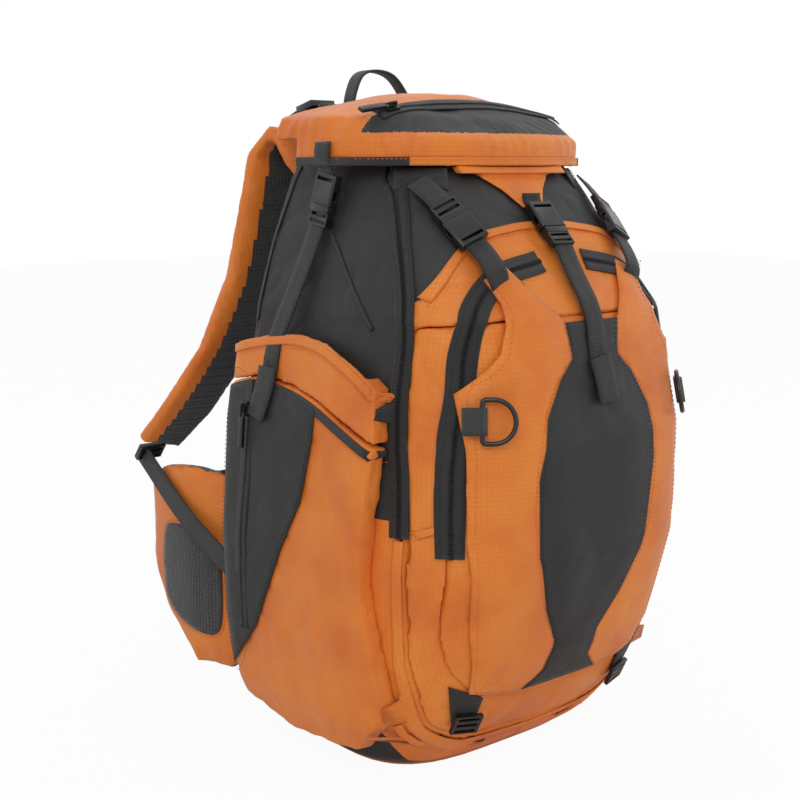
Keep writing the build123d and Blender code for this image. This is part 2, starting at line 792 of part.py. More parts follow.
def grab_handle():
    """Webbing loop standing behind the lid."""
    foot_y = back_y(bag_height) + 2.2
    top = bag_height + handle_rise
    half = [(-handle_half, foot_y, bag_height + 8), (-handle_half + 1, foot_y + 4, bag_height + 42),
            (-20, foot_y + 10, top - 6)]
    path = Spline(half + [(0, foot_y + 12, top)] + [(-x, y, z) for x, y, z in reversed(half)])
    profile = Plane(origin=path @ 0, z_dir=path % 0, x_dir=(0, 1, 0)) * Rectangle(2.4, 14)
    return sweep(profile, path)


# ---- build and write ------------------------------------------------------------------------------------
side_band_solid = side_band()
back_solid = back_panel()
shoulder_solid = shoulder_strap()
parts = {}


def put(name, piece):
    """Keep a node: one solid or a list of solids."""
    items = piece if isinstance(piece, (list, tuple)) else [piece]
    parts[name] = [solid for item in items for solid in solids_over(item)]
    print(name, len(parts[name]), round(sum(s.volume for s in parts[name])))


def put_pair(name, piece):
    """Keep a left node and its mirrored right node."""
    put(name + "_left", piece)
    put(name + "_right", right_of(piece))


side_low, side_high = side_frame()
side_zip_plane = strap_plane(side_high - (side_high - side_low).normalized() * 9, side_high - side_low, (-1, 0, 0))
lid_solid = lid_shell()
tongue_solid = lid_tongue()
lid_slide_place = Plane(on_lid_arc(-9.0, 2.0))

def put_both(name, piece):
    """Keep a piece and its mirrored copy as one node."""
    put(name, [piece, right_of(piece)])


put("back_panel", back_solid)
put_pair("side_panel", side_panel())
put("upper_front_panel", upper_front_panel())
put("base_panel", base_panel())
put("mid_compartment", mid_compartment())
put("front_pocket", front_pocket())
put("frame_sheet", frame_sheet())
put("frame_stays", frame_stays())
put("main_zips", main_zips())
put("pocket_zip", pocket_zip())
put("front_flap", front_flap())
put("flap_panel", flap_panel())
put_both("side_pockets", side_pocket())
put_both("side_pocket_panels", side_pocket_panel())
put_both("side_bands", side_band_solid)
put_both("side_zips", side_zip())
put_pair("side_slider", slider_body(side_zip_plane))
put_pair("side_pull", pull_tab(side_zip_plane))
put("lid_shell", lid_solid)
put("lid_zip", lid_zip())
put("lid_slider", slider_body(lid_slide_place))
put("lid_pull", pull_tab(lid_slide_place))
put("lid_tongue", tongue_solid)
put("lid_tabs", lid_tabs())
put("lid_housings", [centre_housing, side_housing, right_of(side_housing)])
put("centre_plug", centre_plug)
put("centre_strap", centre_strap())
put_pair("side_plug", side_plug)
put_pair("side_strap", side_strap())
put_both("compression_housings", comp_housing)
put_pair("compression_plug", comp_plug)
put_pair("compression_strap", comp_strap())
put_both("compression_tabs", comp_tab())
put_pair("d_ring", d_ring())
put_both("ring_loops", ring_loop())
put_both("bottom_tabs", bottom_tab())
put_both("bottom_locks", bottom_lock())
put_both("shoulder_straps", shoulder_solid)
put_both("load_lifters", load_lifter())
put_both("lifter_buckles", lifter_buckle())
put_both("strap_adjusters", adjuster())
put_pair("lower_webbing", lower_webbing())
put("back_pads", back_pads())
put("lumbar_pad", lumbar_pad())
put_pair("hip_wing", hip_wing())
put("waist_webbing_left", waist_webbing())
put("waist_webbing_right", waist_webbing_right())
put("waist_housing", waist_buckle()[0])
put("waist_plug", waist_buckle()[1])
put("grab_handle", grab_handle())

os.makedirs("parts", exist_ok=True)
for name, solids in parts.items():
    export_step(Compound(children=solids) if len(solids) > 1 else solids[0], f"parts/{name}.step")
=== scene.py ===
import bpy
import bmesh
import math
import numpy as np
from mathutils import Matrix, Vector, noise
from mathutils.bvhtree import BVHTree
from mathutils.geometry import delaunay_2d_cdt


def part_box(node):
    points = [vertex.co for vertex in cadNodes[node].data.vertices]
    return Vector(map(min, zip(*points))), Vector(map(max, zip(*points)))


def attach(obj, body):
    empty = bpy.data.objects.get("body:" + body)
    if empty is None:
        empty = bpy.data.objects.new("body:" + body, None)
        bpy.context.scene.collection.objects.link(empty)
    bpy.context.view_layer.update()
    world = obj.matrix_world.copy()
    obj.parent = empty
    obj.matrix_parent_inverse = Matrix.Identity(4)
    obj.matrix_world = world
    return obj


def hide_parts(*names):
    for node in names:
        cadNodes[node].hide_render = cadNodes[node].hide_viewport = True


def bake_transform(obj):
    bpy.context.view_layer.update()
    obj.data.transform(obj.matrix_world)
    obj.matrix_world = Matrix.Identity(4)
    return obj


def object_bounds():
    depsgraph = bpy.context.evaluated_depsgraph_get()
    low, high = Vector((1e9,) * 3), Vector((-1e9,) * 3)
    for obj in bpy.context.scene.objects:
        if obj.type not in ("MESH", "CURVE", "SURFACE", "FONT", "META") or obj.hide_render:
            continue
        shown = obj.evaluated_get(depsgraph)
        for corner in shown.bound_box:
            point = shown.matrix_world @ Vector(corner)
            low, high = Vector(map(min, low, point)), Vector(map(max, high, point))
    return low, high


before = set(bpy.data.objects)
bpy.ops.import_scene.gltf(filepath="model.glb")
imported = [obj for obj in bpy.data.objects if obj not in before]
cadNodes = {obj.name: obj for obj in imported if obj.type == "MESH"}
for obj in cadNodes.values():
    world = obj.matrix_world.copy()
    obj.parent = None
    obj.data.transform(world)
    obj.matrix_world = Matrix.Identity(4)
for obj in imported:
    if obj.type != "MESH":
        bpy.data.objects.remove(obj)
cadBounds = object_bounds()
scene = bpy.context.scene

# camera, floor and light come first
viewpoint = {"place": (-0.826, -0.924, 0.519), "target": (0.0, 0.06, 0.3016), "lens": 60.98,
             "shiftX": 0.0, "shiftY": -0.004}
studio = {"floor": (0.93, 0.93, 0.92), "floorGlow": 0.95, "sky": 0.50,
          "lamps": [("keyLight", (-1.7, -1.7, 1.9), 1.3, 17.0), ("fillLight", (1.9, -1.4, 1.1), 1.6, 5.0),
                    ("topLight", (0.0, 0.9, 2.3), 1.6, 7.0)]}


def makeCamera():
    data = bpy.data.cameras.new("camera")
    data.lens = viewpoint["lens"]
    data.sensor_width = 36.0
    data.shift_x = viewpoint["shiftX"]
    data.shift_y = viewpoint["shiftY"]
    data.clip_start = 0.02
    camera = bpy.data.objects.new("camera", data)
    scene.collection.objects.link(camera)
    camera.location = viewpoint["place"]
    aim = Vector(viewpoint["target"]) - Vector(viewpoint["place"])
    camera.rotation_euler = aim.to_track_quat("-Z", "Y").to_euler()
    scene.camera = camera


def softbox(name, place, size, power, target=(0.0, 0.0, 0.3)):
    data = bpy.data.lights.new(name, "AREA")
    data.shape = "DISK"
    data.size = size
    data.energy = power
    lamp = bpy.data.objects.new(name, data)
    scene.collection.objects.link(lamp)
    lamp.location = place
    lamp.rotation_euler = (Vector(target) - Vector(place)).to_track_quat("-Z", "Y").to_euler()


def makeStudio():
    world = bpy.data.worlds.new("studio")
    scene.world = world
    world.use_nodes = True
    tree = world.node_tree
    tree.nodes.clear()
    out, mix, rays, either = (tree.nodes.new("ShaderNode" + kind) for kind in ("OutputWorld",
            "MixShader", "LightPath", "Math"))
    either.operation = "MAXIMUM"
    soft, white = tree.nodes.new("ShaderNodeBackground"), tree.nodes.new("ShaderNodeBackground")
    for sky, strength in ((soft, studio["sky"]), (white, 1.0)):
        sky.inputs["Color"].default_value = (1.0, 1.0, 1.0, 1.0)
        sky.inputs["Strength"].default_value = strength
    tree.links.new(rays.outputs["Is Camera Ray"], either.inputs[0])
    tree.links.new(rays.outputs["Is Glossy Ray"], either.inputs[1])
    tree.links.new(either.outputs[0], mix.inputs[0])
    tree.links.new(soft.outputs[0], mix.inputs[1])
    tree.links.new(white.outputs[0], mix.inputs[2])
    tree.links.new(mix.outputs[0], out.inputs["Surface"])
    for name, place, size, power in studio["lamps"]:
        softbox(name, place, size, power)
    mesh = bpy.data.meshes.new("floor")
    mesh.from_pydata([(-6, -6, 0), (6, -6, 0), (6, 6, 0), (-6, 6, 0)], [], [(0, 1, 2, 3)])
    floor = bpy.data.objects.new("floor", mesh)
    scene.collection.objects.link(floor)
    floor.location.z = cadBounds[0].z - 0.0003
    paint = bpy.data.materials.new("paleFloor")
    paint.use_nodes = True
    tree = paint.node_tree
    base = tree.nodes["Principled BSDF"]
    base.inputs["Base Color"].default_value = (*studio["floor"], 1.0)
    base.inputs["Roughness"].default_value = 0.9
    glow, blendIn, seen = tree.nodes.new("ShaderNodeEmission"), tree.nodes.new("ShaderNodeMixShader"), tree.nodes.new("ShaderNodeLightPath")
    share = tree.nodes.new("ShaderNodeMath")
    share.operation = "MULTIPLY"
    share.inputs[1].default_value = studio["floorGlow"]
    tree.links.new(seen.outputs["Is Camera Ray"], share.inputs[0])
    tree.links.new(share.outputs[0], blendIn.inputs[0])
    tree.links.new(base.outputs[0], blendIn.inputs[1])
    tree.links.new(glow.outputs[0], blendIn.inputs[2])
    tree.links.new(blendIn.outputs[0], tree.nodes["Material Output"].inputs["Surface"])
    mesh.materials.append(paint)
    scene.view_settings.view_transform = "Standard"


makeCamera()
makeStudio()
print("camera and studio ready")


# small helpers for material nodes
class nodeSheet:
    def __init__(self, name):
        self.material = bpy.data.materials.new(name)
        self.material.use_nodes = True
        self.tree = self.material.node_tree
        self.shader = self.tree.nodes["Principled BSDF"]
        self.place = self.tree.nodes.new("ShaderNodeTexCoord").outputs["Object"]

    def add(self, kind, **settings):
        node = self.tree.nodes.new("ShaderNode" + kind)
        for key, value in settings.items():
            setattr(node, key, value)
        return node

    def link(self, source, target):
        self.tree.links.new(source, target)

    def feed(self, socket, value):
        if isinstance(value, (int, float)):
            socket.default_value = value
        elif isinstance(value, tuple):
            socket.default_value = value if len(value) != 3 or socket.type != "RGBA" else (*value, 1.0)
        else:
            self.link(value, socket)

    def into(self, name, value):
        self.feed(self.shader.inputs[name], value)

    def roughness(self, base, spread, *grain):
        self.into("Roughness", self.math("ADD", self.math("MULTIPLY", self.noise(*grain), spread), base))

    def math(self, operation, a, b=0.0):
        node = self.add("Math", operation=operation)
        self.feed(node.inputs[0], a)
        self.feed(node.inputs[1], b)
        return node.outputs[0]

    def noise(self, scale, detail=3.0, roughness=0.55, source=None, stretch=None):
        node = self.add("TexNoise")
        node.inputs["Scale"].default_value = scale
        node.inputs["Detail"].default_value = detail
        node.inputs["Roughness"].default_value = roughness
        where = source or self.place
        if stretch:
            mapping = self.add("Mapping")
            mapping.inputs["Scale"].default_value = stretch
            self.link(where, mapping.inputs["Vector"])
            where = mapping.outputs["Vector"]
        self.link(where, node.inputs["Vector"])
        return node.outputs["Fac"]

    def ramp(self, factor, stops):
        node = self.add("ValToRGB")
        ramp = node.color_ramp
        while len(ramp.elements) > len(stops):
            ramp.elements.remove(ramp.elements[-1])
        while len(ramp.elements) < len(stops):
            ramp.elements.new(0.5)
        for element, (spot, colour) in zip(ramp.elements, stops):
            element.position = spot
            element.color = (*colour, 1.0)
        self.link(factor, node.inputs["Fac"])
        return node.outputs["Color"]

    def mix(self, factor, a, b, blend="MIX"):
        node = self.add("Mix", data_type="RGBA", blend_type=blend)
        self.feed(node.inputs[0], factor)
        self.feed(node.inputs[6], a)
        self.feed(node.inputs[7], b)
        return node.outputs[2]

    def bump(self, height, distance, strength=1.0, base=None):
        node = self.add("Bump")
        node.inputs["Strength"].default_value = strength
        node.inputs["Distance"].default_value = distance
        self.link(height, node.inputs["Height"])
        if base is not None:
            self.link(base, node.inputs["Normal"])
        return node.outputs["Normal"]

    def parts(self, source):
        node = self.add("SeparateXYZ")
        self.link(source, node.inputs[0])
        return node.outputs

    def gridLines(self, pitch, width):
        # thread lines on the two directions that lie in the cloth
        axes = self.parts(self.place)
        facing = self.parts(self.add("NewGeometry").outputs["Normal"])
        total = None
        for i in range(3):
            ripple = self.math("PINGPONG", axes[i], pitch / 2)
            line = self.math("LESS_THAN", ripple, width / 2)
            away = self.math("SUBTRACT", 1.0, self.math("ABSOLUTE", facing[i]))
            line = self.math("MULTIPLY", line, self.math("GREATER_THAN", away, 0.3))
            total = line if total is None else self.math("MAXIMUM", total, line)
        return total


def orangeRipstop():
    look = {"colour": (0.86, 0.235, 0.022), "deep": (0.74, 0.165, 0.014), "pale": (0.92, 0.290, 0.035),
            "thread": (0.70, 0.160, 0.016), "grid": 0.0038, "line": 0.0006}
    n = nodeSheet("orangeRipstop")
    tone = n.ramp(n.noise(14.0, 3.0), [(0.30, look["deep"]), (0.52, look["colour"]), (0.75, look["pale"])])
    lines = n.gridLines(look["grid"], look["line"])
    paint = n.mix(n.math("MULTIPLY", lines, 0.30), tone, look["thread"])
    n.into("Base Color", paint)
    n.roughness(0.40, 0.16, 60.0)
    crumple = n.math("ADD", n.noise(38.0, 3.0, 0.5, stretch=(1.0, 1.0, 0.55)),
                     n.math("MULTIPLY", n.noise(110.0, 2.0), 0.35))
    normal = n.bump(crumple, 0.0045, 0.55)
    normal = n.bump(lines, 0.0004, 0.5, normal)
    normal = n.bump(n.noise(1300.0, 1.0), 0.00012, 0.35, normal)
    n.into("Normal", normal)
    n.into("Sheen Weight", 0.12)
    n.into("Sheen Roughness", 0.4)
    return n.material


def charcoalCloth():
    look = {"low": (0.009, 0.0086, 0.0087), "high": (0.015, 0.0144, 0.0146),
            "fleck": (0.022, 0.021, 0.021), "weave": 1100.0}
    n = nodeSheet("charcoalCloth")
    tone = n.ramp(n.noise(22.0, 4.0), [(0.3, look["low"]), (0.7, look["high"])])
    weave = n.noise(look["weave"], 1.0)
    paint = n.mix(n.math("MULTIPLY", weave, 0.45), tone, look["fleck"])
    n.into("Base Color", paint)
    n.roughness(0.52, 0.2, 45.0)
    normal = n.bump(n.noise(30.0, 3.0, 0.5), 0.004, 0.45)
    normal = n.bump(weave, 0.00014, 0.4, normal)
    n.into("Normal", normal)
    n.into("Sheen Weight", 0.05)
    n.into("Sheen Roughness", 0.5)
    return n.material


def airMesh():
    look = {"thread": (0.034, 0.034, 0.036), "hole": (0.006, 0.006, 0.007), "cell": 240.0}
    n = nodeSheet("airMesh")
    cells = n.add("TexVoronoi", feature="F1")
    cells.inputs["Scale"].default_value = look["cell"]
    cells.inputs["Randomness"].default_value = 0.25
    n.link(n.place, cells.inputs["Vector"])
    paint = n.ramp(cells.outputs["Distance"], [(0.18, look["hole"]), (0.42, look["thread"])])
    n.into("Base Color", paint)
    n.roughness(0.72, 0.15, 60.0)
    n.into("Normal", n.bump(cells.outputs["Distance"], 0.0012, 0.9))
    n.into("Sheen Weight", 0.3)
    return n.material


def wovenWebbing(name="blackWebbing", low=(0.008, 0.008, 0.0085), high=(0.022, 0.022, 0.023), rib=0.0016):
    n = nodeSheet(name)
    uv = n.add("UVMap")
    uv.uv_map = "strip"
    along = n.parts(uv.outputs[0])
    ribs = n.math("SINE", n.math("MULTIPLY", along[1], 2 * math.pi / rib))
    edge = n.math("SINE", n.math("MULTIPLY", along[0], 2 * math.pi / (rib * 1.3)))
    cloth = n.math("ADD", n.math("MULTIPLY", ribs, 0.7), n.math("MULTIPLY", edge, 0.3))
    tone = n.ramp(n.math("MULTIPLY", n.math("ADD", cloth, 1.0), 0.5), [(0.15, low), (0.85, high)])
    wear = n.mix(n.math("MULTIPLY", n.noise(70.0), 0.35), tone, (0.030, 0.030, 0.031))
    n.into("Base Color", wear)
    n.roughness(0.48, 0.2, 90.0)
    n.into("Normal", n.bump(cloth, 0.0004, 0.9))
    n.into("Sheen Weight", 0.08)
    return n.material


def mouldedPlastic():
    n = nodeSheet("mouldedPlastic")
    tone = n.ramp(n.noise(55.0, 3.0), [(0.3, (0.005, 0.005, 0.0055)), (0.7, (0.010, 0.010, 0.0105))])
    n.into("Base Color", tone)
    n.roughness(0.22, 0.16, 120.0, 3.0)
    n.into("Normal", n.bump(n.noise(700.0, 2.0), 0.0001, 0.35))
    return n.material


def sliderMetal():
    n = nodeSheet("sliderMetal")
    tone = n.ramp(n.noise(90.0, 3.0), [(0.3, (0.020, 0.020, 0.022)), (0.7, (0.05, 0.05, 0.053))])
    n.into("Base Color", tone)
    n.into("Metallic", 0.8)
    n.roughness(0.25, 0.2, 200.0)
    return n.material


def stayAluminium():
    n = nodeSheet("stayAluminium")
    tone = n.ramp(n.noise(30.0, 3.0), [(0.3, (0.55, 0.55, 0.57)), (0.7, (0.68, 0.68, 0.70))])
    n.into("Base Color", tone)
    n.into("Metallic", 1.0)
    n.roughness(0.3, 0.2, 50.0)
    return n.material


def seamThread(name, colour):
    n = nodeSheet(name)
    tone = n.mix(n.noise(400.0), colour, tuple(c * 1.6 for c in colour))
    n.into("Base Color", tone)
    n.roughness(0.6, 0.1, 300.0)
    return n.material


finish = {
    "orange": orangeRipstop(),
    "charcoal": charcoalCloth(),
    "mesh": airMesh(),
    "webbing": wovenWebbing(),
    "tape": wovenWebbing("zipTape", (0.007, 0.007, 0.0075), (0.018, 0.018, 0.019), 0.0011),
    "binding": wovenWebbing("edgeBinding", (0.007, 0.007, 0.0075), (0.016, 0.016, 0.017), 0.0012),
    "greyLoop": wovenWebbing("greyLoop", (0.030, 0.030, 0.031), (0.055, 0.055, 0.056), 0.0014),
    "plastic": mouldedPlastic(),
    "metal": sliderMetal(),
    "stay": stayAluminium(),
    "orangeThread": seamThread("orangeThread", (0.62, 0.12, 0.02)),
    "darkThread": seamThread("darkThread", (0.020, 0.020, 0.021)),
}
print("finishes ready:", len(finish))


# mesh helpers
def newPiece(name, verts, faces, material, smooth=True):
    mesh = bpy.data.meshes.new(name)
    mesh.from_pydata([tuple(v) for v in verts], [], faces)
    mesh.materials.append(material)
    mesh.update()
    piece = bpy.data.objects.new(name, mesh)
    scene.collection.objects.link(piece)
    if smooth:
        mesh.polygons.foreach_set("use_smooth", [True] * len(mesh.polygons))
    return piece


def bake(piece):
    # turns the modifiers into a plain mesh
    graph = bpy.context.evaluated_depsgraph_get()
    graph.update()
    mesh = bpy.data.meshes.new_from_object(piece.evaluated_get(graph))
    piece.modifiers.clear()
    old = piece.data
    piece.data = mesh
    if old.users == 0:
        bpy.data.meshes.remove(old)
    return piece


def coordinates(piece):
    flat = np.zeros(len(piece.data.vertices) * 3, np.float32)
    piece.data.vertices.foreach_get("co", flat)
    return flat.reshape(-1, 3).astype(float)


def setCoordinates(piece, places):
    piece.data.vertices.foreach_set("co", places.astype(np.float32).ravel())
    piece.data.update()


def vertexNormals(piece):
    flat = np.zeros(len(piece.data.vertices) * 3, np.float32)
    piece.data.vertex_normals.foreach_get("vector", flat)
    return flat.reshape(-1, 3).astype(float)


def softNoise(places, scale, seed=0.0):
    # smooth noise sampled at each point
    shift = Vector((seed, seed * 1.7, -seed))
    return np.array([noise.noise(Vector(p) * scale + shift) for p in places])


def remeshed(piece, voxel):
    rebuild = piece.modifiers.new("rebuild", "REMESH")
    rebuild.mode = "VOXEL"
    rebuild.voxel_size = voxel
    rebuild.use_smooth_shade = True
    return bake(piece)


def relaxed(piece, rounds, factor=0.5):
    ease = piece.modifiers.new("ease", "SMOOTH")
    ease.iterations = rounds
    ease.factor = factor
    return bake(piece)


def copyOf(nodeNames, name, material):
    verts, faces = [], []
    for nodeName in nodeNames:
        mesh = cadNodes[nodeName].data
        start = len(verts)
        verts += [tuple(v.co) for v in mesh.vertices]
        faces += [tuple(start + i for i in p.vertices) for p in mesh.polygons]
    piece = newPiece(name, verts, faces, material)
    b = bmesh.new()
    b.from_mesh(piece.data)
    bmesh.ops.remove_doubles(b, verts=b.verts, dist=0.00002)
    b.to_mesh(piece.data)
    b.free()
    return piece


def inflate(piece, pressure=4.0, cap=0.006, shrink=0.002, rounds=20):
    # a short pressure simulation swells a pad, and no point moves further than the cap
    before = coordinates(piece)
    start = before - vertexNormals(piece) * shrink
    setCoordinates(piece, start)
    cloth = piece.modifiers.new("swell", "CLOTH")
    settings = cloth.settings
    settings.quality = 4
    settings.mass = 0.2
    settings.tension_stiffness = 12.0
    settings.compression_stiffness = 12.0
    settings.shear_stiffness = 6.0
    settings.bending_stiffness = 0.6
    settings.use_pressure = True
    settings.uniform_pressure_force = pressure
    settings.effector_weights.gravity = 0.0
    cloth.point_cache.frame_start = 1
    cloth.point_cache.frame_end = rounds
    for step in range(1, rounds + 1):
        scene.frame_set(step)
    graph = bpy.context.evaluated_depsgraph_get()
    result = piece.evaluated_get(graph).data
    flat = np.zeros(len(result.vertices) * 3, np.float32)
    result.vertices.foreach_get("co", flat)
    after = flat.reshape(-1, 3).astype(float)
    piece.modifiers.clear()
    scene.frame_set(1)
    move = after - before
    move[~np.isfinite(move)] = 0.0
    size = np.linalg.norm(move, axis=1, keepdims=True)
    move *= np.minimum(1.0, cap / np.maximum(size, 1e-9))
    setCoordinates(piece, before + move)
    return piece


# lines, strips and patches that lie on the bag
def throughPoints(points, step=0.004, closed=False):
    # smooth line through the given points, evenly sampled
    p = [Vector(a) for a in points]
    count = len(p)
    dense = []
    for i in range(count if closed else count - 1):
        a = p[(i - 1) % count] if closed or i > 0 else p[0] * 2 - p[1]
        b, c = p[i], p[(i + 1) % count]
        d = p[(i + 2) % count] if closed or i + 2 < count else p[-1] * 2 - p[-2]
        for k in range(12):
            t = k / 12
            dense.append(0.5 * ((2 * b) + (c - a) * t + (2 * a - 5 * b + 4 * c - d) * t * t + (3 * b - a - 3 * c + d) * t ** 3))
    dense.append(p[0] if closed else p[-1])
    spots = [0.0]
    for a, b in zip(dense, dense[1:]):
        spots.append(spots[-1] + (b - a).length)
    total = max(2, int(round(spots[-1] / step)))
    out, k = [], 0
    for i in range(total + 1):
        want = spots[-1] * i / total
        while k < len(spots) - 2 and spots[k + 1] < want:
            k += 1
        span = max(spots[k + 1] - spots[k], 1e-9)
        out.append(dense[k].lerp(dense[k + 1], min(max((want - spots[k]) / span, 0.0), 1.0)))
    return out[:-1] if closed else out


surface = {}


def buildSurface(pieces, name="bag"):
    verts, faces = [], []
    for piece in pieces:
        start = len(verts)
        verts += [v.co.copy() for v in piece.data.vertices]
        faces += [tuple(start + i for i in p.vertices) for p in piece.data.polygons]
    surface[name] = BVHTree.FromPolygons(verts, faces)


rayFrom = {
    "front": lambda a, b: (Vector((a, -0.6, b)), Vector((0, 1, 0))),
    "left": lambda a, b: (Vector((-0.6, a, b)), Vector((1, 0, 0))),
    "right": lambda a, b: (Vector((0.6, a, b)), Vector((-1, 0, 0))),
    "top": lambda a, b: (Vector((a, b, 0.9)), Vector((0, 0, -1))),
    "back": lambda a, b: (Vector((a, 0.6, b)), Vector((0, -1, 0))),
}


def hit(side, a, b, name="bag"):
    origin, direction = rayFrom[side](a, b)
    place, normal, index, distance = surface[name].ray_cast(origin, direction)
    if place is None:
        place, normal, index, distance = surface[name].find_nearest(origin + direction * 0.42)
    if normal.dot(direction) > 0:
        normal = -normal
    return place, normal


def evenNormal(side, a, b, name="bag", reach=0.004):
    # normal averaged over a few millimetres, so that fine wrinkles do not tip a strip
    total = Vector()
    for da, db in ((0, 0), (reach, 0), (-reach, 0), (0, reach), (0, -reach)):
        total += hit(side, a + da, b + db, name)[1]
    return total.normalized()


def stripMesh(name, rows, thick, material, lengths, width):
    # rows: list of lists of (place, normal) across the strip
    verts, faces, uvs = [], [], []
    across = len(rows[0])
    ring = across * 2
    for row in rows:
        verts += [p + n * thick for p, n in row]
        verts += [p for p, n in reversed(row)]
    for i in range(len(rows) - 1):
        for j in range(ring):
            k = (j + 1) % ring
            faces.append((i * ring + j, (i + 1) * ring + j, (i + 1) * ring + k, i * ring + k))
            uvs.append([(c, lengths[r]) for c, r in ((j, i), (j, i + 1), (k, i + 1), (k, i))])
    last = (len(rows) - 1) * ring
    faces.append(tuple(range(ring)))
    faces.append(tuple(last + j for j in reversed(range(ring))))
    piece = newPiece(name, verts, faces, material)
    layer = piece.data.uv_layers.new(name="strip")
    spot = lambda j: width * (j if j < across else ring - 1 - j) / (across - 1)
    flat = []
    for quad in uvs:
        flat += [c for j, length in quad for c in (spot(j), length)]
    flat += [0.0] * (4 * ring)
    layer.data.foreach_set("uv", flat)
    b = bmesh.new()
    b.from_mesh(piece.data)
    bmesh.ops.recalc_face_normals(b, faces=b.faces)
    b.to_mesh(piece.data)
    b.free()
    return piece


def lengthsOf(line):
    total = [0.0]
    for a, b in zip(line, line[1:]):
        total.append(total[-1] + (b - a).length)
    return total


def huggingStrip(name, points, width, lift, thick, material, side="front", surfaceName="bag", step=0.004,
                 across=5):
    line = throughPoints([(a, b, 0) for a, b in points], step)
    rows = []
    for i, p in enumerate(line):
        along = (line[min(i + 1, len(line) - 1)] - line[max(i - 1, 0)]).normalized()
        sideways = Vector((-along.y, along.x, 0))
        row = []
        for j in range(across):
            q = p + sideways * width * (j / (across - 1) - 0.5)
            place, _ = hit(side, q.x, q.y, surfaceName)
            normal = evenNormal(side, q.x, q.y, surfaceName)
            row.append((place + normal * lift, normal))
        rows.append(row)
    middle = [row[across // 2][0] for row in rows]
    return stripMesh(name, rows, thick, material, lengthsOf(middle), width)


def freeStrip(name, points, width, thick, outward, material, step=0.004, curl=0.0, smooth=True):
    line = throughPoints(points, step) if smooth else [Vector(p) for p in points]
    rows = []
    outward = [Vector(o) for o in outward] if hasattr(outward[0], "__len__") else [Vector(outward)] * 2
    for i, p in enumerate(line):
        along = (line[min(i + 1, len(line) - 1)] - line[max(i - 1, 0)]).normalized()
        share = i / (len(line) - 1) * (len(outward) - 1)
        k = min(int(share), len(outward) - 2)
        out = outward[k].lerp(outward[k + 1], share - k)
        out = (out - along * out.dot(along)).normalized()
        sideways = along.cross(out)
        rows.append([(p + sideways * width * t - out * (thick / 2 + curl * 4 * t * t),
                      out) for t in (-0.5, -0.25, 0.0, 0.25, 0.5)])
    return stripMesh(name, rows, thick, material, lengthsOf(line), width)


def patch(name, outline, side, spacing, lift, thick, material, surfaceName="bag", crumple=0.0, seed=0.0,
          smoothOutline=True, curlAt=None):
    # a sheet cut to an outline, laid on the surface, with its own thickness
    edge = throughPoints([(a, b, 0) for a, b in outline], spacing,
                         True) if smoothOutline else denseCorners(outline, spacing)
    rim = [Vector((p.x, p.y)) for p in edge]
    low = Vector((min(p.x for p in rim), min(p.y for p in rim)))
    high = Vector((max(p.x for p in rim), max(p.y for p in rim)))
    inner = []
    y = low.y + spacing / 2
    row = 0
    while y < high.y:
        x = low.x + spacing * (0.5 if row % 2 else 0.0)
        while x < high.x:
            if insideOutline(rim, x, y) and nearestEdge(rim, x, y) > spacing * 0.55:
                inner.append(Vector((x, y)))
            x += spacing
        y += spacing * 0.87
        row += 1
    verts2, _, faces, _, _, _ = delaunay_2d_cdt(rim + inner, [], [list(range(len(rim)))], 1, 1e-6)
    places = []
    for p in verts2:
        place, _ = hit(side, p.x, p.y, surfaceName)
        normal = evenNormal(side, p.x, p.y, surfaceName)
        rise = lift
        if crumple:
            away = min(nearestEdge(rim, p.x, p.y) / 0.02, 1.0)
            rise += crumple * away * (noise.noise(Vector((p.x * 18 + seed, p.y * 11, seed))) + 0.6)
        if curlAt:
            rise += curlAt(p.x, p.y)
        places.append(place + normal * rise)
    piece = newPiece(name, places, [tuple(f) for f in faces], material)
    b = bmesh.new()
    b.from_mesh(piece.data)
    bmesh.ops.recalc_face_normals(b, faces=b.faces)
    wanted = -rayFrom[side](0, 0)[1]
    if sum((f.normal.dot(wanted) for f in b.faces)) < 0:
        bmesh.ops.reverse_faces(b, faces=b.faces)
    b.to_mesh(piece.data)
    b.free()
    solid = piece.modifiers.new("thickness", "SOLIDIFY")
    solid.thickness = thick
    solid.offset = 1.0
    return bake(piece)


def denseCorners(outline, spacing):
    out = []
    for a, b in zip(outline, outline[1:] + outline[:1]):
        a, b = Vector((*a, 0)), Vector((*b, 0))
        count = max(1, int((b - a).length / spacing))
        out += [a.lerp(b, k / count) for k in range(count)]
    return out


def insideOutline(rim, x, y):
    inside = False
    for a, b in zip(rim, rim[1:] + rim[:1]):
        if (a.y > y) != (b.y > y) and x < (b.x - a.x) * (y - a.y) / (b.y - a.y) + a.x:
            inside = not inside
    return inside


def nearestEdge(rim, x, y):
    return min((p.x - x) ** 2 + (p.y - y) ** 2 for p in rim) ** 0.5


def mirroredPoints(points):
    return [(-a, b) for a, b in reversed(points)]


def bothSides(points):
    return points + mirroredPoints(points)


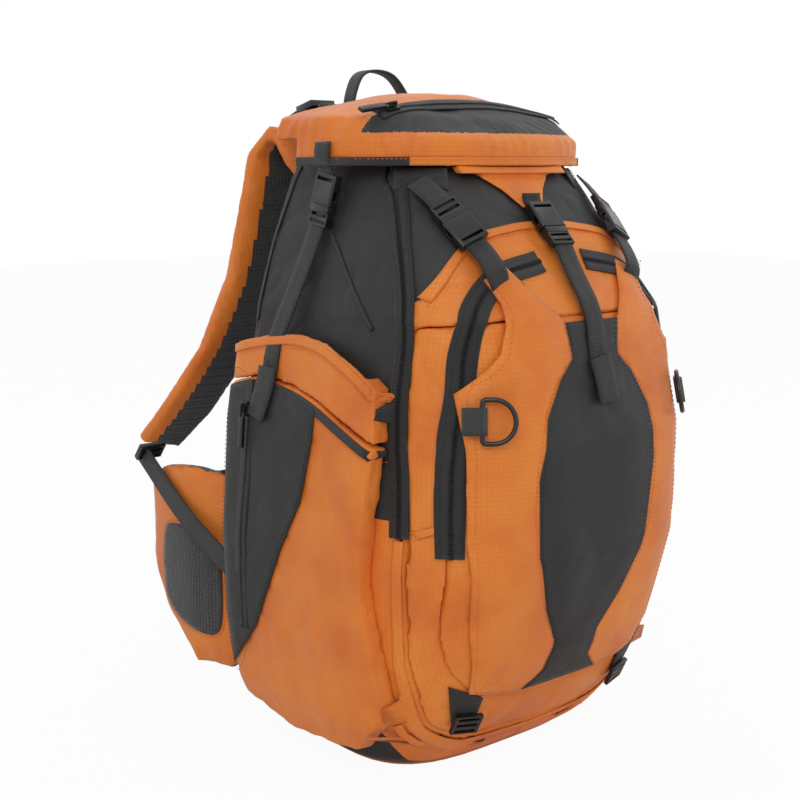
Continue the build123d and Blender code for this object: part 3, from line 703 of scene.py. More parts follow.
# beads along a line: stitches and zip coils
def beadTree():
    tree = bpy.data.node_groups.new("beadsAlongLine", "GeometryNodeTree")
    face = tree.interface
    face.new_socket("Geometry", in_out="INPUT", socket_type="NodeSocketGeometry")
    face.new_socket("Spacing", in_out="INPUT", socket_type="NodeSocketFloat")
    face.new_socket("Bead Size", in_out="INPUT", socket_type="NodeSocketVector")
    face.new_socket("Thread", in_out="INPUT", socket_type="NodeSocketMaterial")
    face.new_socket("Geometry", in_out="OUTPUT", socket_type="NodeSocketGeometry")
    add = lambda kind: tree.nodes.new(kind)
    inputs, outputs = add("NodeGroupInput"), add("NodeGroupOutput")
    curve, points = add("GeometryNodeMeshToCurve"), add("GeometryNodeCurveToPoints")
    points.mode = "LENGTH"
    out = add("GeometryNodeInputNamedAttribute")
    out.data_type = "FLOAT_VECTOR"
    out.inputs["Name"].default_value = "out"
    first, second = add("FunctionNodeAlignRotationToVector"), add("FunctionNodeAlignRotationToVector")
    first.axis = "X"
    second.axis = "Z"
    second.pivot_axis = "X"
    ball, shape = add("GeometryNodeMeshIcoSphere"), add("GeometryNodeTransform")
    ball.inputs["Radius"].default_value = 0.5
    ball.inputs["Subdivisions"].default_value = 1
    place, real, paint = add("GeometryNodeInstanceOnPoints"), add("GeometryNodeRealizeInstances"), add("GeometryNodeSetMaterial")
    link = tree.links.new
    link(inputs.outputs["Geometry"], curve.inputs[0])
    link(curve.outputs[0], points.inputs["Curve"])
    link(inputs.outputs["Spacing"], points.inputs["Length"])
    link(points.outputs["Tangent"], first.inputs["Vector"])
    link(first.outputs[0], second.inputs["Rotation"])
    link(out.outputs["Attribute"], second.inputs["Vector"])
    link(ball.outputs["Mesh"], shape.inputs["Geometry"])
    link(inputs.outputs["Bead Size"], shape.inputs["Scale"])
    link(points.outputs["Points"], place.inputs["Points"])
    link(shape.outputs[0], place.inputs["Instance"])
    link(second.outputs[0], place.inputs["Rotation"])
    link(place.outputs[0], real.inputs[0])
    link(real.outputs[0], paint.inputs["Geometry"])
    link(inputs.outputs["Thread"], paint.inputs["Material"])
    link(paint.outputs[0], outputs.inputs[0])
    return tree


beads = beadTree()


def beadRow(name, lines, spacing, size, material, body):
    # lines: list of lists of (place, out)
    verts, outs, edges = [], [], []
    for line in lines:
        start = len(verts)
        verts += [p for p, n in line]
        outs += [n for p, n in line]
        edges += [(start + i, start + i + 1) for i in range(len(line) - 1)]
    mesh = bpy.data.meshes.new(name)
    mesh.from_pydata([tuple(v) for v in verts], edges, [])
    attribute = mesh.attributes.new("out", "FLOAT_VECTOR", "POINT")
    attribute.data.foreach_set("vector", [c for n in outs for c in n])
    piece = bpy.data.objects.new(name, mesh)
    scene.collection.objects.link(piece)
    modifier = piece.modifiers.new("beads", "NODES")
    modifier.node_group = beads
    values = {"Spacing": spacing, "Bead Size": size, "Thread": material}
    for item in beads.interface.items_tree:
        if item.item_type == "SOCKET" and item.in_out == "INPUT" and item.name in values:
            modifier[item.identifier] = values[item.name]
    bake(piece)
    if body:
        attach(piece, body)
    return piece


# thread length, width and height of each kind of stitch
stitch = {"plain": (0.0026, 0.0007, 0.0006), "edge": (0.0027, 0.0007, 0.0006),
          "flap": (0.0028, 0.0007, 0.0006),
          "wing": (0.0027, 0.0008, 0.0007), "zip": (0.0024, 0.0006, 0.0005),
          "box": (0.0020, 0.0006, 0.0005)}


def stitches(name, lines, kind, spacing, thread, body):
    beadRow(name, lines, spacing, stitch[kind], finish[thread], body)


def settle(piece, body, slotName, *nodes):
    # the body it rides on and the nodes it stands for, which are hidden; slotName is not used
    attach(piece, body)
    if nodes:
        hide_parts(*nodes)


def lineOn(points, lift, side="front", surfaceName="bag", step=0.006):
    line = throughPoints([(a, b, 0) for a, b in points], step)
    out = []
    for p in line:
        place, _ = hit(side, p.x, p.y, surfaceName)
        normal = evenNormal(side, p.x, p.y, surfaceName)
        out.append((place + normal * lift, normal))
    return out


def insetOutline(outline, inset, step=0.005):
    edge = throughPoints([(a, b, 0) for a, b in outline], step, True)
    area = sum(a.x * b.y - b.x * a.y for a, b in zip(edge, edge[1:] + edge[:1]))
    turn = 1 if area > 0 else -1
    out = []
    for i, p in enumerate(edge):
        along = (edge[(i + 1) % len(edge)] - edge[i - 1]).normalized()
        out.append((p.x - along.y * inset * turn, p.y + along.x * inset * turn))
    return out


# the stuffed bag
bagPieces = {
    "leftSide": {"nodes": ["side_panel_left"], "voxel": 0.0026, "ease": 6, "fold": 0.0016,
                 "finish": "charcoal", "slot": "dark_fabric"},
    "rightSide": {"nodes": ["side_panel_right"], "voxel": 0.0026, "ease": 6, "fold": 0.0016,
                  "finish": "charcoal", "slot": "dark_fabric"},
    "upperFront": {"nodes": ["upper_front_panel"], "voxel": 0.0027, "ease": 6, "fold": 0.0016,
                   "finish": "charcoal", "slot": "dark_fabric"},
    "bagFloor": {"nodes": ["base_panel"], "voxel": 0.0027, "ease": 4, "fold": 0.0004, "finish": "orange",
                 "slot": "orange_ripstop"},
    "midCompartment": {"nodes": ["mid_compartment"], "voxel": 0.0032, "ease": 8, "fold": 0.0024,
                       "finish": "orange", "slot": "orange_ripstop"},
    "frontPocket": {"nodes": ["front_pocket"], "voxel": 0.0030, "ease": 8, "fold": 0.0022,
                    "finish": "orange", "slot": "orange_ripstop"},
    "sidePockets": {"nodes": ["side_pockets"], "voxel": 0.0028, "ease": 7, "fold": 0.0024,
                    "finish": "orange", "slot": "orange_ripstop"},
    "sideBands": {"nodes": ["side_bands"], "voxel": 0.0018, "ease": 3, "fold": 0.0008,
                  "finish": "orange", "slot": "orange_ripstop"},
    "backPanel": {"nodes": ["back_panel"], "voxel": 0.0032, "ease": 4, "fold": 0.0004, "finish": "mesh",
                  "slot": "dark_fabric"},
}


def crumpled(piece, depth, seed, lowest=0.012):
    # broad folds with sharper valleys, none under the flat base
    places = coordinates(piece)
    normals = vertexNormals(piece)
    broad = softNoise(places * np.array([1.0, 1.0, 0.6]), 17.0, seed)
    sharp = 1.0 - np.abs(softNoise(places * np.array([1.0, 1.0, 0.7]), 34.0, seed + 9.0)) * 2.6
    sharp = np.clip(sharp, 0.0, 1.0) ** 3
    low = np.clip((places[:, 2] - lowest) / 0.03, 0.0, 1.0)
    push = depth * (broad - 0.45 * sharp) * low
    setCoordinates(piece, places + normals * push[:, None])
    return piece


bag = {}
for i, (name, part) in enumerate(bagPieces.items()):
    piece = copyOf(part["nodes"], name, finish[part["finish"]])
    remeshed(piece, part["voxel"])
    relaxed(piece, part["ease"])
    crumpled(piece, part["fold"], 3.7 * i)
    settle(piece, "pack", part["slot"], *part["nodes"])
    bag[name] = piece
paintedLine = {"x": [0.0, 0.075, 0.096, 0.115, 0.127, 0.2],
               "z": [0.472, 0.463, 0.450, 0.430, 0.416, 0.400], "sideTop": 0.240, "sideFront": -0.085}


def faceFinish(piece, choose):
    # gives each face one of the piece's finishes
    mesh = piece.data
    centres = np.zeros(len(mesh.polygons) * 3, np.float32)
    normals = np.zeros(len(mesh.polygons) * 3, np.float32)
    mesh.polygons.foreach_get("center", centres)
    mesh.polygons.foreach_get("normal", normals)
    index = choose(centres.reshape(-1, 3).astype(float), normals.reshape(-1, 3).astype(float))
    mesh.polygons.foreach_set("material_index", index.astype(np.int32))


for name in ("upperFront", "leftSide", "rightSide"):
    bag[name].data.materials.append(finish["orange"])
faceFinish(bag["upperFront"], lambda c, n: np.where(c[:, 2] < np.interp(np.abs(c[:, 0]),
        paintedLine["x"], paintedLine["z"]), 1, 0))
for name in ("leftSide", "rightSide"):
    faceFinish(bag[name], lambda c, n: np.where((c[:, 2] < paintedLine["sideTop"]) & (c[:,
            1] < paintedLine["sideFront"]), 1, 0))
bagNodes = [n for part in bagPieces.values() for n in part["nodes"]]
buildSurface(list(bag.values()) + [cadNodes[n] for n in bagNodes])
print("bag pieces ready:", len(bag))


# flap and its centre panel
flap = {"outer": [(-0.066, 0.440), (-0.088, 0.430), (-0.084, 0.412), (-0.088, 0.394), (-0.095, 0.375),
                  (-0.108, 0.361), (-0.126, 0.345),
                  (-0.125, 0.300), (-0.124, 0.230), (-0.114, 0.150), (-0.100, 0.092), (-0.060, 0.084)],
        "inner": [(-0.031, 0.396), (-0.027, 0.367), (-0.042, 0.352), (-0.060, 0.322), (-0.069, 0.275),
                  (-0.064, 0.209),
                  (-0.045, 0.160), (-0.026, 0.127), (-0.028, 0.100), (-0.045, 0.084)],
        "lift": 0.0016, "thick": 0.0016, "spacing": 0.0042, "crumple": 0.0022}


def makeFlap():
    for sign, word in ((1, "Left"), (-1, "Right")):
        half = [(-0.031, 0.396), (-0.050, 0.416)] + flap["outer"] + [(-0.045,
                0.084)] + list(reversed(flap["inner"][1:-1]))
        half = [(a * sign, b) for a, b in half]
        free = lambda a, b: 0.005 * max(0.0, 1 - abs(abs(a) - 0.098) / 0.022) * max(0.0,
                1 - abs(b - 0.372) / 0.035)
        piece = patch("flap" + word, half, "front", flap["spacing"], flap["lift"], flap["thick"],
                      finish["orange"],
                      crumple=flap["crumple"], seed=2.0 * sign, smoothOutline=False, curlAt=free)
        settle(piece, "pack", "orange_ripstop")
        if sign == 1:
            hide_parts("front_flap")
        buildSurface([piece], "flap" + word)
        rows = [lineOn([(a * sign + 0.004 * sign, b) for a, b in flap["outer"][1:]], 0.0003, "front",
                       "flap" + word)]
        stitches("flapStitch" + word, rows, "flap", 0.0042, "orangeThread", "pack")
    outline = bothSides(list(reversed(flap["inner"])))
    piece = patch("flapPanel", outline, "front", flap["spacing"], flap["lift"] + 0.0004, flap["thick"],
                  finish["charcoal"],
                  crumple=0.0018, seed=5.0, smoothOutline=False)
    settle(piece, "pack", "dark_fabric", "flap_panel")
    buildSurface([piece], "flapPanel")
    lines = [lineOn([(a * s, b) for a, b in flap["inner"]], 0.0003, "front", onto) for s,
             onto in ((1.045, "flapLeft"), (-1.045, "flapRight"))]
    stitches("flapPanelStitch", lines, "edge", 0.004, "orangeThread", "pack")
    lines = [lineOn([(a * s, b) for a, b in flap["inner"]], 0.0003, "front", "flapPanel") for s in (0.95,
            -0.95)]
    stitches("flapPanelSeam", lines, "edge", 0.004, "darkThread", "pack")


makeFlap()
print("flap ready")


# zips
zips = {
    "main": [(-0.124, 0.228), (-0.122, 0.283), (-0.115, 0.338), (-0.112, 0.393), (-0.092, 0.446),
             (-0.067, 0.493), (-0.056, 0.506)],
    "arch": [(-0.133, 0.215), (-0.133, 0.263), (-0.131, 0.303), (-0.123, 0.341), (-0.116, 0.379),
             (-0.103, 0.409), (-0.073, 0.433), (-0.026, 0.443)],
    "tape": 0.0165, "coil": (0.0011, 0.0052, 0.0022), "pitch": 0.0019}


def makeZip(name, points, side, body, node=None, surfaceName="bag"):
    tape = huggingStrip(name + "Tape", points, zips["tape"], 0.0004, 0.0011, finish["tape"], side,
                        surfaceName)
    settle(tape, body, "zip_tape")
    if node:
        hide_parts(node)
    coil = beadRow(name + "Coil", [lineOn(points, 0.0018, side, surfaceName)], zips["pitch"],
                   zips["coil"], finish["plastic"], body)
    edges = []
    for offset in (-0.0058, 0.0058):
        line = throughPoints([(a, b, 0) for a, b in points], 0.006)
        moved = []
        for i, p in enumerate(line):
            along = (line[min(i + 1, len(line) - 1)] - line[max(i - 1, 0)]).normalized()
            moved.append((p.x - along.y * offset, p.y + along.x * offset))
        edges.append(lineOn(moved, 0.0016, side, surfaceName))
    stitches(name + "Stitch", edges, "zip", 0.0036, "darkThread", body)


makeZip("mainZipLeft", zips["main"], "left", "pack", "main_zips")
makeZip("mainZipRight", zips["main"], "right", "pack")
makeZip("pocketZipLeft", zips["arch"], "front", "pack", "pocket_zip")
makeZip("pocketZipRight", mirroredPoints(zips["arch"]), "front", "pack")
print("zips ready")


# side pockets: charcoal panel, slider zip, seams
side = {"panel": [(0.086, 0.070), (0.086, 0.327), (0.042, 0.337), (-0.005, 0.333), (-0.041, 0.322),
                  (-0.041, 0.297), (-0.029, 0.243), (-0.002, 0.194), (0.036, 0.120)],
        "zip": [(0.0565, 0.122), (0.056, 0.128), (0.048, 0.322), (0.0475, 0.328)],
        "mouth": [(-0.110, 0.300), (-0.043, 0.327), (-0.005, 0.337), (0.042, 0.341), (0.086, 0.331)],
        "hem": [(-0.110, 0.342), (-0.081, 0.360), (-0.041, 0.376), (-0.006, 0.380), (0.030, 0.377),
                (0.066, 0.370), (0.086, 0.365)],
        "drop": {"mouth": -0.0060, "hem": -0.0045},
        "piping": [(-0.124, 0.226), (-0.121, 0.170), (-0.118, 0.120), (-0.114, 0.060), (-0.110, 0.022)],
        "seamUp": [(-0.080, 0.390), (-0.040, 0.430), (0.000, 0.470), (0.030, 0.500)],
        "seamBack": [(0.078, 0.385), (0.075, 0.450), (0.064, 0.520)]}


def makeSides():
    for word, sign in (("left", -1), ("right", 1)):
        name = word.capitalize()
        piece = patch("sidePanel" + name, side["panel"], word, 0.0045, 0.0010, 0.0013,
                      finish["charcoal"], crumple=0.0012, seed=sign * 3.0, smoothOutline=False)
        settle(piece, "pack", "dark_fabric")
        if sign == -1:
            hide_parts("side_pocket_panels")
        tape = huggingStrip("sideZipTape" + name, side["zip"], 0.0165, 0.0024, 0.0010, finish["tape"], word)
        settle(tape, "pack", "zip_tape")
        if sign == -1:
            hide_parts("side_zips")
        coil = beadRow("sideZipCoil" + name, [lineOn(side["zip"], 0.0036, word)], 0.0019,
                       (0.0011, 0.0050, 0.0018), finish["plastic"], "pack")
        for seam in ("mouth", "hem"):
            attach(huggingStrip("side" + seam.capitalize() + name,
                                 [(a, b + side["drop"][seam]) for a, b in side[seam]], 0.0070, 0.0004,
                                 0.0012, finish["binding"] if seam == "mouth" else finish["orange"],
                                 word), "pack")
            stitches("side" + seam.capitalize() + "Stitch" + name,
                     [lineOn([(a, b + side["drop"][seam] - 0.0062) for a, b in side[seam]], 0.0008,
                             word)], "plain", 0.0038, "orangeThread", "pack")
        for seam in ("seamUp", "seamBack"):
            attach(huggingStrip(seam + name, side[seam], 0.0035, 0.0002, 0.0011, finish["charcoal"],
                                 word), "pack")
            stitches(seam + "Stitch" + name, [lineOn([(a + 0.0035, b) for a, b in side[seam]], 0.0008,
                    word)], "plain", 0.0038, "darkThread", "pack")
        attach(huggingStrip("sidePiping" + name, side["piping"], 0.0090, 0.0004, 0.0014,
                             finish["orange"], word), "pack")
        rim = insetOutline(side["panel"], 0.004)
        stitches("sidePanelStitch" + name, [lineOn(rim + rim[:1], 0.0028, word)], "edge", 0.004,
                 "darkThread", "pack")


makeSides()
seams = {"midTop": [(-0.127, 0.416), (-0.115, 0.430), (-0.096, 0.450), (-0.075, 0.463), (-0.035, 0.470),
                    (0.0, 0.472)],
         "lower": [(-0.150, 0.232), (-0.140, 0.238), (-0.128, 0.241)],
         "gusset": [(-0.140, 0.060), (-0.128, 0.046), (-0.100, 0.034), (0.0, 0.028)]}


def makeSeams():
    for key, points in seams.items():
        for sign, word in ((1, "Left"), (-1, "Right")):
            line = [(a * sign, b) for a, b in points]
            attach(huggingStrip("seam" + key.capitalize() + word, line, 0.0052, 0.0002, 0.0011,
                                 finish["orange"], "front"), "pack")
            stitches("seamStitch" + key.capitalize() + word,
                     [lineOn([(a, b - 0.0042) for a, b in line], 0.0006)], "plain", 0.0038,
                     "orangeThread", "pack")


makeSeams()
print("sides and seams ready")


# lid: stuffed shell with gathers at its hem, charcoal front, zip, binding
lid = {"voxel": 0.0023, "hem": 0.524, "hemWidth": 0.007,
       "hemFront": (-0.133, -0.1, -0.05, 0.0, 0.05, 0.1, 0.133),
       "hemSide": (-0.070, -0.03, 0.0, 0.036), "seam": -0.036, "skirtTop": 0.5475, "gather": 0.0014,
       "gathers": 46, 
       "zip": [(-0.104, -0.035), (-0.060, -0.035), (0.0, -0.035), (0.060, -0.035), (0.104, -0.035)]}


def makeLid():
    shell = copyOf(["lid_shell"], "lidShell", finish["orange"])
    remeshed(shell, lid["voxel"])
    relaxed(shell, 5)
    inflate(shell, 2.5, 0.004, 0.001, 12)
    places, normals = coordinates(shell), vertexNormals(shell)
    around = np.arctan2(places[:, 0], -(places[:, 1] - 0.01))
    nearHem = np.clip(1.0 - np.abs(places[:, 2] - 0.552) / 0.026, 0.0, 1.0)
    outside = np.clip(1.0 - np.abs(normals[:, 2]), 0.0, 1.0)
    ripple = np.sin(around * lid["gathers"] + 1.6 * np.sin(around * 7.0)) * nearHem * outside * lid["gather"]
    broad = softNoise(places, 22.0, 4.0) * 0.0022 + softNoise(places, 48.0, 8.0) * 0.0009
    top = np.clip((places[:, 2] - 0.535) / 0.02, 0.0, 1.0)
    setCoordinates(shell, places + normals * (ripple + broad * top)[:, None])
    shell.data.materials.append(finish["charcoal"])
    faceFinish(shell, lambda c, n: np.where((c[:, 1] < lid["seam"]) & (c[:, 2] > lid["skirtTop"]), 1, 0))
    settle(shell, "lid", "orange_ripstop", "lid_shell")
    tongue = copyOf(["lid_tongue"], "lidTongue", finish["orange"])
    remeshed(tongue, 0.0012)
    relaxed(tongue, 3)
    settle(tongue, "lid", "orange_ripstop", "lid_tongue")
    buildSurface([shell, tongue, cadNodes["lid_shell"], cadNodes["lid_tongue"]], "lid")
    tape = huggingStrip("lidZipTape", lid["zip"], 0.0165, 0.0003, 0.0011, finish["tape"], "top", "lid")
    settle(tape, "lid", "zip_tape", "lid_zip")
    beadRow("lidZipCoil", [lineOn(lid["zip"], 0.0016, "top", "lid")], 0.0019, zips["coil"],
            finish["plastic"], "lid")
    points = [(a, lid["hem"]) for a in lid["hemFront"]]
    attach(huggingStrip("lidHemFront", points, lid["hemWidth"], 0.0003, 0.0011, finish["orange"],
                         "front", "lid"), "lid")
    line = lineOn([(a, b + 0.002) for a, b in points], 0.0015, "front", "lid")
    stitches("lidHemStitchFront", [line], "plain", 0.0038, "orangeThread", "lid")
    for word in ("left", "right"):
        points = [(a, lid["hem"]) for a in lid["hemSide"]]
        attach(huggingStrip("lidHem" + word.capitalize(), points, lid["hemWidth"], 0.0003, 0.0012,
                             finish["binding"], word, "lid"), "lid")


makeLid()
print("lid ready")


# foam: shoulder straps, hip wings, back and lumbar pads
foam = {"shoulderStraps": {"nodes": ["shoulder_straps"], "body": "pack", "voxel": 0.0034, "cap": 0.004,
                           "fill": 0.8},
        "backPads": {"nodes": ["back_pads"], "body": "pack", "voxel": 0.0036, "cap": 0.004, "fill": 0.7},
        "lumbarPad": {"nodes": ["lumbar_pad"], "body": "pack", "voxel": 0.0036, "cap": 0.004, "fill": 0.7},
        "hipWingLeft": {"nodes": ["hip_wing_left"], "body": "hip_left", "voxel": 0.0038, "cap": 0.003,
                        "fill": 0.8},
        "hipWingRight": {"nodes": ["hip_wing_right"], "body": "hip_right", "voxel": 0.0038, "cap": 0.003,
                         "fill": 0.8}}
strapPath = [(-0.060, 0.091, 0.500), (-0.064, 0.118, 0.532), (-0.074, 0.138, 0.552),
             (-0.078, 0.152, 0.528), (-0.084, 0.164, 0.470),
             (-0.092, 0.176, 0.410), (-0.112, 0.196, 0.340), (-0.134, 0.228, 0.286), (-0.150, 0.262, 0.246)]


def strapOutside(places, normals):
    path = np.array(strapPath)
    a, b = path[:-1], path[1:]
    best = np.full(len(places), 1e9)
    out = np.zeros_like(places)
    across = np.zeros(len(places))
    folded = places.copy()
    folded[:, 0] = -np.abs(folded[:, 0])
    for p, q in zip(a, b):
        d = q - p
        t = np.clip(((folded - p) @ d) / (d @ d), 0, 1)
        away = np.linalg.norm(folded - (p + t[:, None] * d), axis=1)
        turn = np.cross(d / np.linalg.norm(d), np.array([1.0, 0.0, 0.0]))
        turn = -turn if turn[1] < 0 and d[2] < 0 else turn
        if d[2] > 0:
            turn = turn if turn[2] > 0 else -turn
        near = away < best
        best[near] = away[near]
        out[near] = turn
        across[near] = (folded - (p + t[:, None] * d))[near, 0]
    return np.where(((normals * out).sum(1) > 0.42) | (across < -0.012), 0, 1)


def wingOutside(places, normals):
    sideways = normals[:, 0] * np.sign(places[:, 0]) > 0.2
    behind = (normals[:, 1] > 0.45) & (np.abs(places[:, 0]) > 0.06)
    return np.where(sideways | behind, 0, 1)


def makeFoam():
    for name, part in foam.items():
        piece = copyOf(part["nodes"], name, finish["mesh"])
        remeshed(piece, part["voxel"])
        relaxed(piece, 5)
        inflate(piece, 3.0, part["cap"], 0.0015, 12)
        piece.data.materials.clear()
        if name == "shoulderStraps" or name.startswith("hip"):
            piece.data.materials.append(finish["orange"])
            piece.data.materials.append(finish["mesh"])
            faceFinish(piece, strapOutside if name == "shoulderStraps" else wingOutside)
        else:
            piece.data.materials.append(finish["mesh"])
        settle(piece, part["body"], "air_mesh" if "Pad" in name else "orange_ripstop", *part["nodes"])
        buildSurface([piece], name)


makeFoam()
print("foam ready")


def wingPatch(word, sign):
    name = "hipWing" + word.capitalize()
    body = "hip_" + word
    outline = [(0.150, 0.080), (0.150, 0.150), (0.165, 0.170), (0.215, 0.172), (0.236, 0.160),
               (0.240, 0.110), (0.225, 0.084), (0.180, 0.070)]
    piece = patch("wingMesh" + word.capitalize(), outline, word, 0.004, 0.0004, 0.0012, finish["mesh"],
                  name)
    settle(piece, body, "air_mesh")
    rim = insetOutline(outline, -0.003)
    stitches("wingStitch" + word.capitalize(), [lineOn(rim + rim[:1], 0.0006, word, name)], "wing",
             0.004, "orangeThread", body)


wingPatch("left", -1)
wingPatch("right", 1)


# moulded parts keep their shape and get rounded edges
moulded = {"lid_housings": "lid", "centre_plug": "centre_plug", "side_plug_left": "side_plug_left",
           "side_plug_right": "side_plug_right",
           "compression_housings": "pack", "compression_plug_left": "compression_plug_left",
           "compression_plug_right": "compression_plug_right",
           "bottom_locks": "pack", "lifter_buckles": "pack", "strap_adjusters": "pack",
           "waist_housing": "hip_right", "waist_plug": "hip_left",
           "side_pull_left": "side_pull_left", "side_pull_right": "side_pull_right", "lid_pull": "lid_pull",
           "side_slider_left": "side_slider_left", "side_slider_right": "side_slider_right",
           "lid_slider": "lid_slider",
           "d_ring_left": "d_ring_left", "d_ring_right": "d_ring_right", "frame_sheet": "pack",
           "frame_stays": "pack"}


def makeMoulded():
    for node, body in moulded.items():
        words = node.split("_")
        name = words[0] + "".join(w.capitalize() for w in words[1:])
        kind = "metal" if "slider" in node else "stay" if node == "frame_stays" else "plastic"
        piece = copyOf([node], name, finish[kind])
        b = bmesh.new()
        b.from_mesh(piece.data)
        bmesh.ops.dissolve_limit(b, angle_limit=math.radians(1.0), verts=b.verts, edges=b.edges)
        b.to_mesh(piece.data)
        b.free()
        round1 = piece.modifiers.new("roundEdges", "BEVEL")
        round1.width = 0.0006 if "ring" not in node else 0.0001
        round1.segments = 2
        round1.limit_method = "ANGLE"
        round1.angle_limit = math.radians(40)
        bake(piece)
        piece.data.polygons.foreach_set("use_smooth", [True] * len(piece.data.polygons))
        piece.data.set_sharp_from_angle(angle=math.radians(38))
        settle(piece, body,
               "stay_metal" if node == "frame_stays" else "stiff_sheet" if node == "frame_sheet" else "black_plastic", node)


makeMoulded()
print("moulded parts ready")


# webbing
web = {"width": 0.020, "thick": 0.0016}


def flipX(points):
    return [(-p[0], p[1], p[2]) for p in points]


def webbingRun(name, points, outward, body, nodes=(), width=None, thick=None, material="webbing",
               smooth=True):
    piece = freeStrip(name, points, width or web["width"], thick or web["thick"], outward,
                      finish[material], smooth=smooth)
    if body:
        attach(piece, body)
    if nodes:
        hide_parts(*nodes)
    return piece


def boxStitch(name, centre, along, out, body, length=0.018, width=0.014):
    # box with a cross sewn through it
    c, a, o = Vector(centre), Vector(along).normalized(), Vector(out).normalized()
    s = a.cross(o).normalized()
    spot = lambda u, v: (c + a * u * length / 2 + s * v * width / 2, o)
    lines = []
    for u1, v1, u2, v2 in ((-1, -1, 1, -1), (1, -1, 1, 1), (1, 1, -1, 1), (-1, 1, -1, -1),
                           (-1, -1, 1, 1), (-1, 1, 1, -1)):
        p, q = spot(u1, v1), spot(u2, v2)
        lines.append([(p[0].lerp(q[0], t / 6), o) for t in range(7)])
    stitches(name, lines, "box", 0.0027, "darkThread", body)


def makeWebbing():
    for word, sign in (("left", 1), ("right", -1)):
        name = word.capitalize()
        turn = (lambda pts: pts) if sign == 1 else flipX
        vec = lambda v: (v[0] * sign, v[1], v[2])
        # side strap: from the plug's lock over the pocket band to its sewn end
        run = [(-0.1338, 0.0050, 0.4785), (-0.1368, 0.0065, 0.4700), (-0.1425, 0.0090, 0.4520),
               (-0.1560, 0.0160, 0.4130), (-0.1672, 0.0240, 0.3780), (-0.1720, 0.0255, 0.3600)]
        place, normal = hit(word, 0.0260, 0.345)
        run = turn(run) + [tuple(place + normal * 0.0016)]
        strap = webbingRun("sideStrap" + name, run, vec((-1, 0, 0.12)), None, ())
        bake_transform(strap)
        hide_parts("side_strap_" + word)
        foot, out = hit(word, 0.0262, 0.350)
        boxStitch("sideStrapStitch" + name, foot + out * 0.0030, (0, 0.05, -1), out, "pack")
        tail, out = hit(word, 0.0275, 0.335)
        low, out2 = hit(word, 0.0330, 0.306)
        webbingRun("sideTail" + name, [tuple(foot + out * 0.0040), tuple(tail + out * 0.0045),
                                       tuple(low + out2 * 0.0075)], tuple(out), "pack", width=0.024,
                                       thick=0.0024)
        # compression strap and its lower tab
        run = [(-0.0940, -0.1100, 0.4845), (-0.0945, -0.1036, 0.4906), (-0.0965, -0.0920, 0.4995),
               (-0.0990, -0.0790, 0.5080)]
        strap = webbingRun("compressionStrap" + name, turn(run), vec((-0.391, -0.664, 0.638)), None)
        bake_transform(strap)
        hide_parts("compression_strap_" + word)
        place, normal = hit("front", -0.106 * sign, 0.508)
        other, normal2 = hit("front", -0.072 * sign, 0.508)
        tab = webbingRun("compressionFoot" + name, [tuple(place + normal * 0.0022),
                tuple(place.lerp(other, 0.5) + normal * 0.0034), tuple(other + normal2 * 0.0022)],
                tuple(normal), "pack")
        boxStitch("compressionFootStitch" + name, place.lerp(other, 0.45) + normal * 0.0046,
                  tuple(other - place), normal, "pack")
        place, normal = hit("front", -0.079 * sign, 0.430)
        run = [vec((-0.0870, -0.1310, 0.4640)), tuple(Vector(vec((-0.0830, -0.1450,
                0.4480))) + normal * 0.002), tuple(place + normal * 0.0078),
                tuple(Vector(place) + normal * 0.0066 + Vector((0.004 * sign, 0, -0.010)))]
        webbingRun("compressionTab" + name, run, tuple(normal), "pack",
                   ["compression_tabs"] if sign == 1 else ())
        boxStitch("compressionTabStitch" + name, place + normal * 0.0095, (0.3 * sign, 0, -1), normal,
                  "pack", 0.012, 0.014)
        # load lifter over the yoke to the strap's crest
        run = [(-0.067, 0.0855, 0.560), (-0.067, 0.0955, 0.569), (-0.067, 0.108, 0.5725),
               (-0.0685, 0.133, 0.5635)]
        webbingRun("loadLifter" + name, turn(run), (0, 0.3, 1), "pack",
                   ["load_lifters"] if sign == 1 else ())
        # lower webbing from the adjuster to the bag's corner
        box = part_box("lower_webbing_" + word)
        top = Vector((box[0].x + 0.011 if sign == 1 else box[1].x - 0.011, box[1].y - 0.004,
                      box[1].z - 0.004))
        low = Vector((box[1].x - 0.004 if sign == 1 else box[0].x + 0.004, box[0].y + 0.004,
                      box[0].z + 0.006))
        middle = top.lerp(low, 0.5) + Vector((-0.004 * sign, 0, -0.004))
        strap = webbingRun("lowerWebbing" + name, [tuple(top), tuple(middle), tuple(low)],
                           vec((-1, 0, 0.15)), None)
        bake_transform(strap)
        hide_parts("lower_webbing_" + word)
        # ring loop
        bar = Vector((-0.119 * sign, -0.1804, 0.326))
        along = Vector((0.118 * sign, 0.142, 0.983))
        out = Vector((-0.627 * sign, -0.756, 0.185))
        inward = along.cross(out) * sign
        run = [bar - inward * 0.015 - out * 0.0028, bar - inward * 0.007 - out * 0.0026,
               bar + inward * 0.0006 - out * 0.0032, bar + inward * 0.0034,
               bar + inward * 0.0006 + out * 0.0032, bar - inward * 0.007 + out * 0.0012,
               bar - inward * 0.016 - out * 0.0008]
        webbingRun("ringLoop" + name, [tuple(p) for p in run],
                   [tuple(-out), tuple(-out), tuple(inward), tuple(out), tuple(out)], "pack",
                   ["ring_loops"] if sign == 1 else (), width=0.022, thick=0.0014, material="greyLoop")
        # bottom corner tab
        tab = patch("bottomTab" + name, [(-0.118 * sign, 0.100), (-0.084 * sign, 0.084),
                                         (-0.084 * sign, 0.064), (-0.104 * sign, 0.060)], "front", 0.004,
                                         0.0006, 0.0016, finish["charcoal"], smoothOutline=False)
        settle(tab, "pack", "black_webbing")
        if sign == 1:
            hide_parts("bottom_tabs")
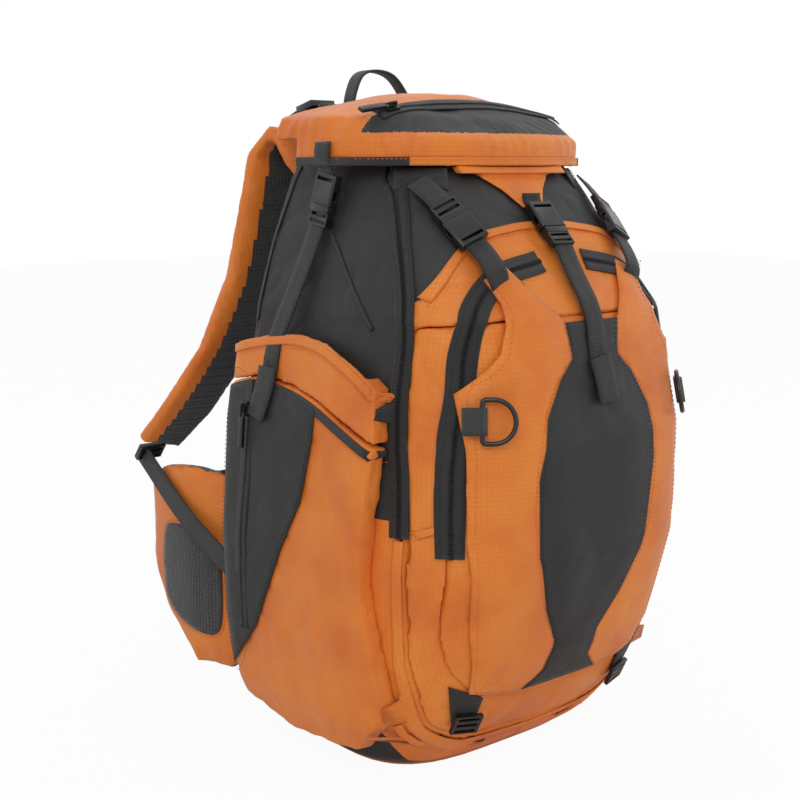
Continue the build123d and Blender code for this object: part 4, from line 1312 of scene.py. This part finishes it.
    # centre strap, its box and its folded tail
    run = [(0, -0.1450, 0.4610), (0, -0.1500, 0.4550), (0, -0.1580, 0.4420)]
    for z, lift in ((0.425, 0.0068), (0.408, 0.0064), (0.392, 0.0058), (0.376, 0.0054), (0.356, 0.0050)):
        place, normal = hit("front", 0.0, z)
        run.append(tuple(place + normal * lift))
    strap = webbingRun("centreStrap", run, (0, -1, 0.5), None)
    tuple(run[4])
    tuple(run[1])
    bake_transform(strap)
    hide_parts("centre_strap")
    place, normal = hit("front", 0.0, 0.366)
    boxStitch("centreStrapStitch", place + normal * 0.0066, (0, 0, -1), normal, "pack")
    low, normal2 = hit("front", 0.006, 0.330)
    webbingRun("centreTail", [tuple(place + normal * 0.0070),
                              tuple(place.lerp(low, 0.5) + normal * 0.0085),
                              tuple(low + normal2 * 0.0100)], tuple(normal), "pack", width=0.024,
                              thick=0.0024)
    # tabs from the lid to the housings
    tip, normal = hit("front", 0.0, 0.491, "lid")
    tail = Vector((0, -0.1370, 0.469)) + Vector((0, 0.69, 0.725)) * 0.0215
    webbingRun("centreTab", [tuple(tip + normal * 0.0012 + Vector((0, 0, 0.006))),
                             tuple(tip + normal * 0.0022 + Vector((0, 0, -0.001))), tuple(tail)],
                             (0, -0.725, 0.69), "lid", ["lid_tabs"])
    for word, sign in (("left", 1), ("right", -1)):
        tail = Vector((-0.132366 * sign, 0.003, 0.488)) + Vector((0.15 * sign, -0.17, 0.98)) * 0.0215
        webbingRun("sideTab" + word.capitalize(), [(-0.1352 * sign, -0.0010, 0.5400),
                (-0.1366 * sign, -0.0012, 0.5290), (-0.1330 * sign, -0.0010, 0.5165), tuple(tail)],
                (-1 * sign, 0, 0.1), "lid")
    # waist webbing
    webbingRun("waistWebbingLeft", [(-0.080, 0.3215, 0.177), (-0.050, 0.322, 0.177),
                                    (-0.0150, 0.322, 0.177)], (0, 1, 0), "hip_left",
                                    ["waist_webbing_left"], width=0.025)
    webbingRun("waistWebbingRight", [(0.080, 0.3215, 0.177), (0.050, 0.322, 0.177),
                                     (0.0240, 0.322, 0.177)], (0, 1, 0), "hip_right",
                                     ["waist_webbing_right"], width=0.025)
    # grab handle
    run = [(-0.036, 0.0872, 0.549), (-0.0355, 0.0900, 0.570), (-0.033, 0.0925, 0.584),
           (-0.020, 0.0972, 0.6035), (0.0, 0.0990, 0.6088)]
    run = run + [(-x, y, z) for x, y, z in reversed(run[:-1])]
    webbingRun("grabHandle", run, [(-1, 0, 0.2), (-0.8, 0, 0.7), (0, 0, 1), (0.8, 0, 0.7), (1, 0, 0.2)],
               "grab_handle", ["grab_handle"], width=0.014, thick=0.0024)


makeWebbing()
print("webbing ready")
